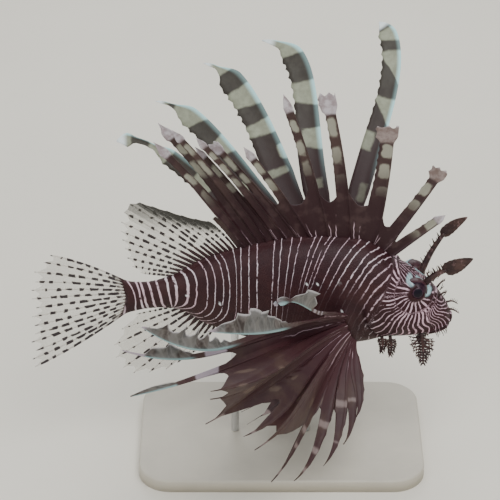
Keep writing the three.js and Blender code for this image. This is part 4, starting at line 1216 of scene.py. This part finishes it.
def bowed(root, tip, bulge, form=arch):
    """A ray from root to tip, with its bulge to one side."""
    t = ray_shares()[:, None]
    return np.asarray(root) * (1 - t) + np.asarray(tip) * t + np.asarray(bulge) * form(t)


def curl(t):
    """The share of its curl that a ray shows at t: most just before the tip."""
    return 2.1 * t ** 4 * (1 - t ** 12)


def scallops(k, t, pitch, length):
    """1 at pointed places along a torn edge, falling to 0 between them."""
    place = t * length / pitch + 0.37 * k + 0.25 * math.sin(3.1 * k + 9 * t)
    return 1 - abs(math.sin(math.pi * place)) ** 0.7


def pectoral_rays(side, sweeps, lifts, droops, curls):
    """The rays of the pectoral fin on one side; the last rays need no droop or curl of their own."""
    last = len(PECTORAL_LENGTHS) - 1
    rays = []
    for k, length in enumerate(PECTORAL_LENGTHS):
        x, z = between(PECTORAL_TOP, PECTORAL_BOTTOM, k / last)
        root = np.array([x, side * (flank(x, z) - ROOT_DEPTH), z])
        sweep, rise = math.radians(sweeps[k]), math.radians(lifts[k])
        aim = np.array([-math.sin(sweep), side * math.cos(sweep), 0]) * math.cos(rise)
        aim[2] = math.sin(rise)
        bulge = np.array([math.cos(sweep), side * math.sin(sweep), 0]) * PECTORAL_BOW[k] * length
        bulge[2] -= (droops[k] if k < len(droops) else 0) * length
        forward, up = curls[k] if k < len(curls) else (0, 0)
        curled = np.array([forward, 0, up]) * curl(ray_shares()[:, None])
        rays.append(bowed(root, root + aim * length, bulge, hook) + curled)
    return rays


def start_taper(t, length, least):
    """Grows to 1 over the first share of a ray, from the least share of its width."""
    return limited(t / length, least, 1)


def pectoral_mesh(name, rays, joined, upper_width, **others):
    """A pectoral fin, whose lower rays are alike on both sides."""
    feathers = len(LEFT_FEATHERS)

    def width(k, t):
        if k < feathers:
            return upper_width(k, t)
        half = LOWER_RAY_HALF_WIDTH * start_taper(t, 0.35, 0.25) * (1 - 0.98 * limited(2 * t - 1) ** 1.3)
        return half, half * (0.8 + 0.2 * scallops(k, t, 9, PECTORAL_LENGTHS[k]))

    def flesh(k, t):
        return 4.6 * max(0.0, 1 - t * PECTORAL_LENGTHS[k] / 13) ** 1.5

    return fin_mesh(
        name, rays, joined, width,
        rod=lambda k, t: (1.9 if k < feathers else 1.3) * (1 - t) + 0.45 + flesh(k, t),
        membrane=lambda k, t: 0.55 * (1 - t) + 0.28 + flesh(k, t),
        upper=[1.0 if k < feathers else 0.0 for k in range(len(rays))], **others)


def band_marks(bands):
    def mark(k, t, s, half):
        return band_distance(bands[k] if k < len(bands) else [], t, s, PECTORAL_LENGTHS[k], half)
    return mark


def left_pectoral():
    """The far fin: its upper rays are feathers, smooth in front and torn behind."""
    feathers = len(LEFT_FEATHERS)

    def feather(k, t):
        row = LEFT_FEATHERS[k]
        narrower = (1 - row.left_over) * float(ease(row.taper_start, row.taper_end, t))
        taper = start_taper(t, 0.35, 0.25) * (1 - narrower)
        taper *= 1 - 0.85 * max(0.0, (t - 0.97) / 0.03) ** 2
        torn = 1 - 0.2 * (1 - scallops(k, t, 7, PECTORAL_LENGTHS[k])) * float(ease(0.5, 0.75, t))
        if k == feathers - 1:
            taper += 0.5 * float(bump(t - 0.97, 0.02))
        return row.front * taper, row.rear * taper * torn

    def cupped(k, t, s):
        size = LEFT_FEATHERS[k].rear if k < feathers else LOWER_RAY_HALF_WIDTH
        return 0.16 * size * abs(s) ** 1.6 * min(1, 3 * (1 - t))

    rays = pectoral_rays(SIDES["left"], LEFT_SWEEP, LEFT_LIFT, [], LEFT_CURL)
    return pectoral_mesh("pectoral_left", rays, LEFT_JOINED, feather, rod_at=-0.85, lift=cupped,
                         facing=lambda k, t: float(ease(0.2, 0.45, t)) if k < feathers else 0.0,
                         marks={"mark": (band_marks(LEFT_BANDS), OUTSIDE)})


def leaf_share(k, t):
    """How much of a right upper ray's leaf there is at t."""
    if k >= len(RIGHT_LEAVES):
        return 0.0
    leaf = RIGHT_LEAVES[k]
    share = limited((t - leaf.start) / (leaf.end - leaf.start))
    return math.sin(math.pi * share ** leaf.crest) ** leaf.peak if 0 < share < 1 else 0.0


def spoon(t):
    """The first ray's tip is wider again, as a small spoon: this is 1 at its middle."""
    middle, length, _ = RIGHT_SPOON
    return float(bump(t - middle, length))


def right_pectoral():
    """The near fin: its upper rays are shafts with torn, ruffled leaves above them near the tip."""
    leaves = len(RIGHT_LEAVES)

    def leaf_width(k, t):
        shaft = RIGHT_SHAFT[k] * start_taper(t, 0.2, 0.4) * (1 - 0.85 * t ** 4)
        if k == 0:
            shaft += RIGHT_SPOON[2] * spoon(t)
        leaf = RIGHT_LEAVES[k]
        torn = 1 - leaf.torn * (1 - scallops(k, t, leaf.pitch, PECTORAL_LENGTHS[k]))
        return max(shaft, leaf.height * leaf_share(k, t) * torn), shaft

    def ruffled(k, t, s):
        if k >= leaves:
            return 0.1 * LOWER_RAY_HALF_WIDTH * abs(s) ** 1.6
        out = max(0.0, -s)
        wave = math.sin(0.55 * t * PECTORAL_LENGTHS[k] + 2 * k)
        return leaf_share(k, t) * (2.4 * out ** 1.5 * wave + 2.5 * out ** 2)

    def leafy(k, t, s, half):
        return np.array([max(leaf_share(k, v), 0.3 * spoon(v) if k == 0 else 0.0) for v in t])

    rays = pectoral_rays(SIDES["right"], RIGHT_SWEEP, RIGHT_LIFT, RIGHT_DROOP, RIGHT_CURL)
    return pectoral_mesh(
        "pectoral_right", rays, RIGHT_JOINED, leaf_width, rod_at=0.6, lift=ruffled, spots=RIGHT_SPOTS,
        facing=lambda k, t: float(ease(0.3, 0.6, t)) if k < leaves else 0.0,
        marks={"mark": (band_marks(RIGHT_BANDS), OUTSIDE), "leaf": (leafy, 0.0)})


def make_spiny_dorsal():
    """The dorsal spines with their flags and spots, and the membrane at their feet."""
    rays = []
    for spine in DORSAL_SPINES:
        root = np.array([spine.root, 0, float(smooth(spine.root, BACK)) - 2])
        bulge = (0.02 * (spine.height - root[2]), 0, 0.02 * abs(spine.tip - spine.root))
        rays.append(bowed(root, (spine.tip, spine.lean, spine.height), bulge))
    lengths = [float(np.linalg.norm(ray[-1] - ray[0])) for ray in rays]

    def width(k, t):
        spine = DORSAL_SPINES[k]
        shaft = spine.shaft * (1 - 0.25 * t)
        share = limited(1 - (1 - t) * lengths[k] / spine.flag_length)
        grown = float(ease(0, 0.45, share)) if spine.blunt else math.sin(math.pi * min(share * 1.3, 1))
        size = shaft + (spine.flag - shaft) * grown
        front, rear = SPINE_FRONT * size, SPINE_REAR * size
        if not spine.blunt:
            front, rear = front * (1 - share ** 3), rear * (1 - share ** 2.2)
        torn = 1 - 0.14 * (1 - scallops(k, t, 6, lengths[k])) * float(ease(0.35, 0.6, t))
        return max(front, SPINE_LEAST), max(rear * torn, SPINE_LEAST)

    def torn_end(k, t, s):
        if not DORSAL_SPINES[k].blunt:
            return 0.0
        deep = 0.5 + 0.5 * math.sin(7 * s + 2.3 * k)
        return (0.03 * deep + 0.012 * abs(math.sin(15 * s + k))) * t ** 20

    def spots(k, t, s, half):
        spine = DORSAL_SPINES[k]
        row = (spine.first_spot, spine.pitch, spine.spots)
        first, last = (-0.95, 0.6) if k == 2 else (-0.62, 0.95)
        return row_of_spots(t, s, lengths[k], half, row, first, last)

    return fin_mesh(
        "dorsal_fin_spiny", rays, DORSAL_JOINED, width,
        rod=lambda k, t: 2.6 * (1 - t) + 0.6,
        membrane=lambda k, t: 0.55 * (1 - t) + 0.3,
        rod_at=-0.78, fray=torn_end, marks={"mark": (spots, OUTSIDE)},
        lift=lambda k, t, s: 0.5 * abs(s) ** 1.6,
        flag=[spine.flag_length for spine in DORSAL_SPINES],
        upper=[float(spine.blunt and k < 3) for k, spine in enumerate(DORSAL_SPINES)])


def soft_fin(name, rays, haze=None):
    """A clear fin, whose membrane reaches nearly to the tips of its rays."""
    random.seed(SEED)
    turns = [0.5 * (k % 2) + 0.25 * random.random() for k in range(len(rays))]
    haze = haze or [0.0] * len(rays)
    return fin_mesh(
        name, rays, [(0.995, 0.985, 0.995) if v > 0.3 else (0.96, 0.915, 0.96) for v in haze[:-1]],
        width=lambda k, t: 2 * ((0.5 + 0.5 * t) * (1 - 0.8 * t ** 14),),
        rod=lambda k, t: 1.0 * (1 - t) + 0.3,
        membrane=lambda k, t: 0.35 * (1 - t) + 0.2,
        ray_turn=turns, haze=haze)


def more_rays(values, count):
    """Values spread evenly along a smooth curve through a few of them."""
    return [place_on(values, i / (count - 1)) for i in range(count)]


def median_fin(name, roots_x, tips, column, sink, count, bulge, haze=None):
    """A clear fin along the back or the belly, whose roots are at a height of sink from its skin."""
    rays = []
    for k, (tip_x, tip_z) in enumerate(more_rays(tips, count)):
        share = k / (count - 1)
        x = between(*roots_x, share)
        root = (x, 0, float(smooth(x, column)) + sink)
        rays.append(bowed(root, (tip_x, 0, tip_z), np.array(bulge) * (1 - share) ** 1.5))
    return soft_fin(name, rays, haze)


def tail_fin():
    """The tail fin, whose roots follow the hollow in the skin's rear end."""
    rays = []
    for k, (tip_x, tip_z) in enumerate(more_rays(TAIL_TIPS, TAIL_RAYS)):
        share = k / (TAIL_RAYS - 1)
        root = (TAIL_END + 1.5 + TAIL_NOTCH * math.sin(math.pi * share), 0, between(*TAIL_ROOTS, share))
        tip = (tip_x + 1.5 * math.sin(2.4 * k), TAIL_LEAN * share ** 2, tip_z)
        rays.append(bowed(root, tip, (0, 0, 2 * (1 - 2 * share))))
    return soft_fin("tail_fin_clear", rays)


def make_pelvic(name, side):
    """One pelvic fin, spread out and back from the belly."""
    rays = []
    for k, (tip_x, tip_z) in enumerate(PELVIC_TIPS):
        x, z = between(*PELVIC_ROOTS, k / (len(PELVIC_TIPS) - 1))
        tip = (tip_x, side * (PELVIC_SPREAD - 3 * k), tip_z)
        rays.append(bowed((x, side * PELVIC_SIDE, z + 4), tip, (4, 0, -3)))
    return fin_mesh(
        name, rays, PELVIC_JOINED,
        width=lambda k, t: 2 * (1 - 0.9 * t,),
        rod=lambda k, t: 1.5 * (1 - t) + 0.4,
        membrane=lambda k, t: 0.5 * (1 - t) + 0.3)


def brow_tentacle(suffix, side):
    """A spiky stem above the eye that ends in a toothed leaf."""
    random.seed(SEED + side)
    bundle = Bundle()
    *stem, tip = (mirrored(p, side) for p in BROW_STEM[suffix])
    aim = unit(tip - stem[-1])
    bundle.sweep(stem, lambda t: 3.3 - 1.7 * t ** 0.7, lambda t: 2.4 - 1.1 * t, (0, 1, 0), 20, 14)
    flat_way = (-aim[2], 0, aim[0])

    def leaf_width(t):
        teeth = 1 - 0.12 * abs(math.sin(22 * t)) * (1 - t)
        return 0.25 + BROW_LEAF_HALF_WIDTH[suffix] * teeth * math.sin(math.pi * t ** 0.46) ** 0.75

    leaf = [stem[-1] - aim * 2, (stem[-1] + tip) / 2 + np.array([0, side * 0.8, 0.5]), tip]
    bundle.sweep(leaf, leaf_width, lambda t: 0.42 - 0.25 * t, flat_way, 30, 16)
    bundle.sweep(leaf, lambda t: 0.5 - 0.3 * t, lambda t: 0.75 - 0.45 * t, flat_way, 24, 8)
    for i in range(BROW_SPIKES):
        start = place_on(stem, 0.12 + 0.8 * i / (BROW_SPIKES - 1))
        length = 3.6 + 2.8 * random.random()
        way = [-0.55 + 0.5 * random.random(), 0.5 * (random.random() - 0.5), 1.0 if i % 3 else -0.8]
        bundle.twig(start, start + unit(way) * length, 0.6, 0.45, 4, 6, (0.3, 0, 0))
    return bundle.mesh(f"brow_{suffix}")


def barbel(bundle, root, tip, branches, branch_length, side):
    """A stem with pairs of branches to front and rear, that fork into small twigs."""
    start, end = mirrored(root, side), mirrored(tip, side)
    stem = [start, (start + end) / 2 + np.array([0.8, 0, 0]), end]
    bundle.sweep(stem, lambda t: 1.2 - 0.7 * t, lambda t: 1.1 - 0.6 * t, (1, 0, 0), 14, 8)
    for i in range(branches):
        down = i / (branches - 1)
        base = place_on(stem, 0.16 + 0.8 * down)
        length = branch_length * (1 - 0.85 * down ** 1.4) * (0.85 + 0.3 * random.random())
        for way in (1, -1):
            for out in (-0.4, 0.4):
                aim = unit([way * 0.9, out, -0.35 + 0.3 * random.random()])
                branch = bundle.twig(base, base + aim * length, 0.62, 0.34, 5, 6, (0, 0, -0.5))
                for share in (0.55, 0.8):
                    fork = place_on(branch, share)
                    bundle.twig(fork, fork + np.array([way * 0.8, out * 0.5, -1.7]), 0.38, 0.18, 2, 5)


def barbels(name, side):
    random.seed(SEED + 5 * side)
    bundle = Bundle()
    for root, tip, branches, length in BARBELS:
        barbel(bundle, root, tip, branches, length, side)
    return bundle.mesh(name)


def head_fringes():
    """Short feelers on the snout, and hair-fine fringes along the jaw, brow and cheek."""
    random.seed(SEED)
    bundle = Bundle()
    jaw = [(96 + 1.3 * i, -29.2 + 0.35 * i) for i in range(7)]
    face = [(90, 12.4), (92, 9.6), (94, 6.8), (99, 0.5), (101.5, -4), (84, 16.5), (80, 17.5)]
    for side in SIDES.values():
        for route, size in ((SNOUT_FEELER, 0.85), (NASAL_FEELER, 0.8)):
            places = [mirrored(p, side) for p in route]
            bundle.rod(places, size, 0.7 * size, 12, 8)
            for i in range(5):
                base = place_on(places, 0.35 + 0.13 * i)
                bundle.twig(base, base + np.array([0.8, side * 0.4, 1.5 + random.random()]), 0.26, 0.16, 3, 5)
        for x, z in jaw + face:
            base = np.array([x, side * flank(x, z) * 0.96, z])
            aim = np.array([0.35, side * 0.35, -1.0 if (x, z) in jaw else 0.9])
            aim += np.array([random.random() - 0.5, 0.3 * (random.random() - 0.5), 0])
            end = base + unit(aim) * (3.0 + 1.6 * random.random())
            route = [base - aim * 0.6, (base + end) / 2 + np.array([0.4, 0, 0]), end]
            bundle.rod(route, 0.36, 0.24, 6, 6)
    return bundle.mesh("head_fringes")


def eye_ball(name, side):
    """An eyeball turned to look out of the head: rings from its back to the front of the cornea."""
    rows, around = 40, 48
    aim = mirrored(EYE_AIM, side)
    first = unit(np.cross(aim, (0, 0, 1)))
    second = np.cross(aim, first)
    points, from_middle = [], []
    for i in range(rows):
        polar = math.pi * (1 - (i + 0.5) / rows)
        swell = 1 + 0.045 * float(bump(polar, 0.5))
        for j in range(around):
            turn = 2 * math.pi * j / around
            radial = math.cos(turn) * first + math.sin(turn) * second
            out = math.cos(polar) * aim + math.sin(polar) * radial
            points.append(mirrored(EYE, side) + EYE_RADIUS * swell * out)
            from_middle.append(polar)
    faces = sleeve_faces(rows, around) + end_faces(rows, around)
    return make_mesh(name, np.array(points), faces, {"from_middle": from_middle})


def plate_mesh():
    """The stand's plate with rounded corners and a soft upper edge, on the frame's own box."""
    low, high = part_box("stand_base")
    bevel = bpy.context.scene.lionfish_stand.plate_bevel
    centre, half = (low + high) / 2, (high - low) / 2
    rings = [(0.0, low.z), (0.0, high.z - bevel)]
    for i in range(1, BEVEL_STEPS + 1):
        angle = math.pi / 2 * i / BEVEL_STEPS
        rings.append((bevel * (1 - math.cos(angle)), high.z - bevel * (1 - math.sin(angle))))
    points = []
    for inset, z in rings:
        for quarter, (sx, sy) in enumerate(((1, 1), (-1, 1), (-1, -1), (1, -1))):
            for i in range(CORNER_STEPS + 1):
                angle = math.pi / 2 * (quarter + i / CORNER_STEPS)
                radius = PLATE_CORNER - inset
                points.append((centre.x + sx * (half.x - PLATE_CORNER) + radius * math.cos(angle),
                               centre.y + sy * (half.y - PLATE_CORNER) + radius * math.sin(angle), z))
    around = 4 * (CORNER_STEPS + 1)
    mesh = bpy.data.meshes.new("stand_plate")
    mesh.from_pydata(points, [], sleeve_faces(len(rings), around) + end_faces(len(rings), around))
    mesh.polygons.foreach_set("use_smooth", [len(p.vertices) == 4 for p in mesh.polygons])
    return add_object("stand_plate", mesh)


class LIONFISH_OT_skin(bpy.types.Operator):
    """Adds the skin, which covers head, jaw, gill covers, trunk and tail stock."""

    bl_idname = "lionfish.skin"
    bl_label = "Skin"

    def execute(self, context):
        make_skin()
        return {"FINISHED"}


class LIONFISH_OT_eyes(bpy.types.Operator):
    """Adds both eyeballs."""

    bl_idname = "lionfish.eyes"
    bl_label = "Eyes"

    def execute(self, context):
        material = eye_paint()
        for suffix, side in SIDES.items():
            finish_piece(eye_ball(f"eyeball_{suffix}", side), "eye", material, f"eye_{suffix}")
        return {"FINISHED"}


class LIONFISH_OT_pectoral_fins(bpy.types.Operator):
    """Adds the two fanned pectoral fins."""

    bl_idname = "lionfish.pectoral_fins"
    bl_label = "Pectoral fins"

    def execute(self, context):
        finish_piece(left_pectoral(), "pectoral_fin", far_pectoral_paint(), "pectoral_fin_left")
        finish_piece(right_pectoral(), "pectoral_fin", near_pectoral_paint(), "pectoral_fin_right")
        return {"FINISHED"}


class LIONFISH_OT_spiny_dorsal(bpy.types.Operator):
    """Adds the thirteen dorsal spines and the membrane at their feet."""

    bl_idname = "lionfish.spiny_dorsal"
    bl_label = "Dorsal spines"

    def execute(self, context):
        finish_piece(make_spiny_dorsal(), "spine_fin", spine_paint(), "dorsal_fin_spines")
        return {"FINISHED"}


class LIONFISH_OT_clear_fins(bpy.types.Operator):
    """Adds the spotted clear fins: soft dorsal, anal and tail."""

    bl_idname = "lionfish.clear_fins"
    bl_label = "Clear fins"

    def execute(self, context):
        dorsal = median_fin("dorsal_fin_clear", SOFT_DORSAL_ROOTS, SOFT_DORSAL_TIPS, BACK, -2,
                            SOFT_DORSAL_RAYS, (0, 0, 2), SOFT_DORSAL_HAZE)
        finish_piece(dorsal, "clear_fin", clear_fin_paint("soft_dorsal_fin", 0.5), "dorsal_fin_soft")
        anal = median_fin("anal_fin_clear", ANAL_ROOTS, ANAL_TIPS, BELLY, 2, ANAL_RAYS, (0, 0, -3))
        finish_piece(anal, "clear_fin", clear_fin_paint("clear_anal_fin", 0.3), "anal_fin")
        finish_piece(tail_fin(), "clear_fin", clear_fin_paint("clear_tail_fin", 0.07), "tail_fin")
        return {"FINISHED"}


class LIONFISH_OT_pelvic_fins(bpy.types.Operator):
    """Adds the two pelvic fins."""

    bl_idname = "lionfish.pelvic_fins"
    bl_label = "Pelvic fins"

    def execute(self, context):
        material = pelvic_paint()
        for suffix, side in SIDES.items():
            fin = make_pelvic(f"pelvic_{suffix}", side)
            finish_piece(fin, "pectoral_fin", material, f"pelvic_fin_{suffix}")
        return {"FINISHED"}


class LIONFISH_OT_feelers(bpy.types.Operator):
    """Adds the brow tentacles, the fern-like barbels and the fringes of the head."""

    bl_idname = "lionfish.feelers"
    bl_label = "Feelers"

    def execute(self, context):
        material = feeler_paint()
        for suffix, side in SIDES.items():
            finish_piece(brow_tentacle(suffix, side), "skin", material, f"brow_tentacle_{suffix}")
            nodes = [f"barbel_{suffix}_{i + 1}" for i in range(len(BARBELS))]
            finish_piece(barbels(f"barbels_{suffix}", side), "skin", material, *nodes)
        nodes = [f"{kind}_feeler_{suffix}" for kind in ("snout", "nasal") for suffix in SIDES]
        finish_piece(head_fringes(), "skin", material, *nodes)
        return {"FINISHED"}


class LIONFISH_OT_stand(bpy.types.Operator):
    """Adds the stand's plate and finishes its rods."""

    bl_idname = "lionfish.stand"
    bl_label = "Stand"

    def execute(self, context):
        stand = context.scene.lionfish_stand
        plate = plain_paint("stand_paint", stand.plate_colour, [0.93 * v for v in stand.plate_colour], 40,
                            Roughness=0.55)
        finish_piece(plate_mesh(), "stand_plate", plate, "stand_base")
        steel = plain_paint("stand_steel", (0.62, 0.63, 0.64), (0.55, 0.56, 0.57), 90,
                            Roughness=0.3, Metallic=1.0)
        for name in ("stand_rod_front", "stand_rod_back"):
            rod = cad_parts[name]
            rod.data.materials.clear()
            rod.data.materials.append(steel)
        return {"FINISHED"}


class LIONFISH_OT_stage(bpy.types.Operator):
    """Adds the plain floor, soft lights and the camera."""

    bl_idname = "lionfish.stage"
    bl_label = "Stage"

    def execute(self, context):
        stage = context.scene.lionfish_stage
        mesh = bpy.data.meshes.new("floor")
        size = 4.0
        corners = [(-size, -size, 0), (size, -size, 0), (size, size, 0), (-size, size, 0)]
        mesh.from_pydata(corners, [], [(0, 1, 2, 3)])
        floor = add_object("floor", mesh)
        shade = [0.96 * v for v in stage.floor_colour]
        floor.data.materials.append(plain_paint("floor_paint", stage.floor_colour, shade, 3, Roughness=0.8))
        world = bpy.data.worlds.new("studio")
        context.scene.world = world
        world.use_nodes = True
        background = world.node_tree.nodes["Background"]
        background.inputs["Color"].default_value = (0.93, 0.97, 1.0, 1.0)
        background.inputs["Strength"].default_value = 0.75
        target = Vector((0, 0, context.scene.lionfish_body.middle_height))
        for name, place, width, power in LAMPS:
            lamp = bpy.data.lights.new(name, "AREA")
            lamp.size = width
            lamp.energy = power
            item = add_object(name, lamp)
            item.location = place
            item.rotation_euler = (target - Vector(place)).to_track_quat("-Z", "Y").to_euler()
        self.place_camera(context, stage)
        return {"FINISHED"}

    def place_camera(self, context, stage):
        """Sets the camera where the photo was taken from: square to the fish's right side, from above."""
        along, above = CAMERA_TARGET
        rise, run = math.sin(stage.elevation), math.cos(stage.elevation)
        target = Vector((along, 0, context.scene.lionfish_body.middle_height + above / run))
        camera = bpy.data.cameras.new("camera")
        camera.lens = camera.sensor_width * stage.distance / stage.view_width
        item = add_object("camera", camera)
        item.location = target + Vector((0, -run, rise)) * stage.distance
        item.rotation_euler = (math.pi / 2 - stage.elevation, 0, 0)
        context.scene.camera = item


PIECES = (
    LIONFISH_OT_skin, LIONFISH_OT_eyes, LIONFISH_OT_pectoral_fins, LIONFISH_OT_spiny_dorsal,
    LIONFISH_OT_clear_fins, LIONFISH_OT_pelvic_fins, LIONFISH_OT_feelers, LIONFISH_OT_stand,
    LIONFISH_OT_stage,
)
SETTINGS = {
    "lionfish_body": BodySettings, "lionfish_fins": FinSettings, "lionfish_stand": StandSettings,
    "lionfish_stage": StageSettings,
}


class LIONFISH_PT_panel(bpy.types.Panel):
    bl_label = "Lionfish"
    bl_idname = "LIONFISH_PT_panel"
    bl_space_type = "VIEW_3D"
    bl_region_type = "UI"
    bl_category = "Lionfish"

    def draw(self, context):
        for name, group in SETTINGS.items():
            box = self.layout.box()
            for key in group.__annotations__:
                box.prop(getattr(context.scene, name), key)
        for piece in PIECES:
            self.layout.operator(piece.bl_idname)


def register():
    for group in (*SETTINGS.values(), *PIECES, LIONFISH_PT_panel):
        bpy.utils.register_class(group)
    for name, group in SETTINGS.items():
        setattr(bpy.types.Scene, name, PointerProperty(type=group))


def unregister():
    for name in SETTINGS:
        delattr(bpy.types.Scene, name)
    for group in reversed((*SETTINGS.values(), *PIECES, LIONFISH_PT_panel)):
        bpy.utils.unregister_class(group)


def main():
    register()
    for piece in PIECES:
        area, name = piece.bl_idname.split(".")
        getattr(getattr(bpy.ops, area), name)()


if __name__ == "__main__":
    main()
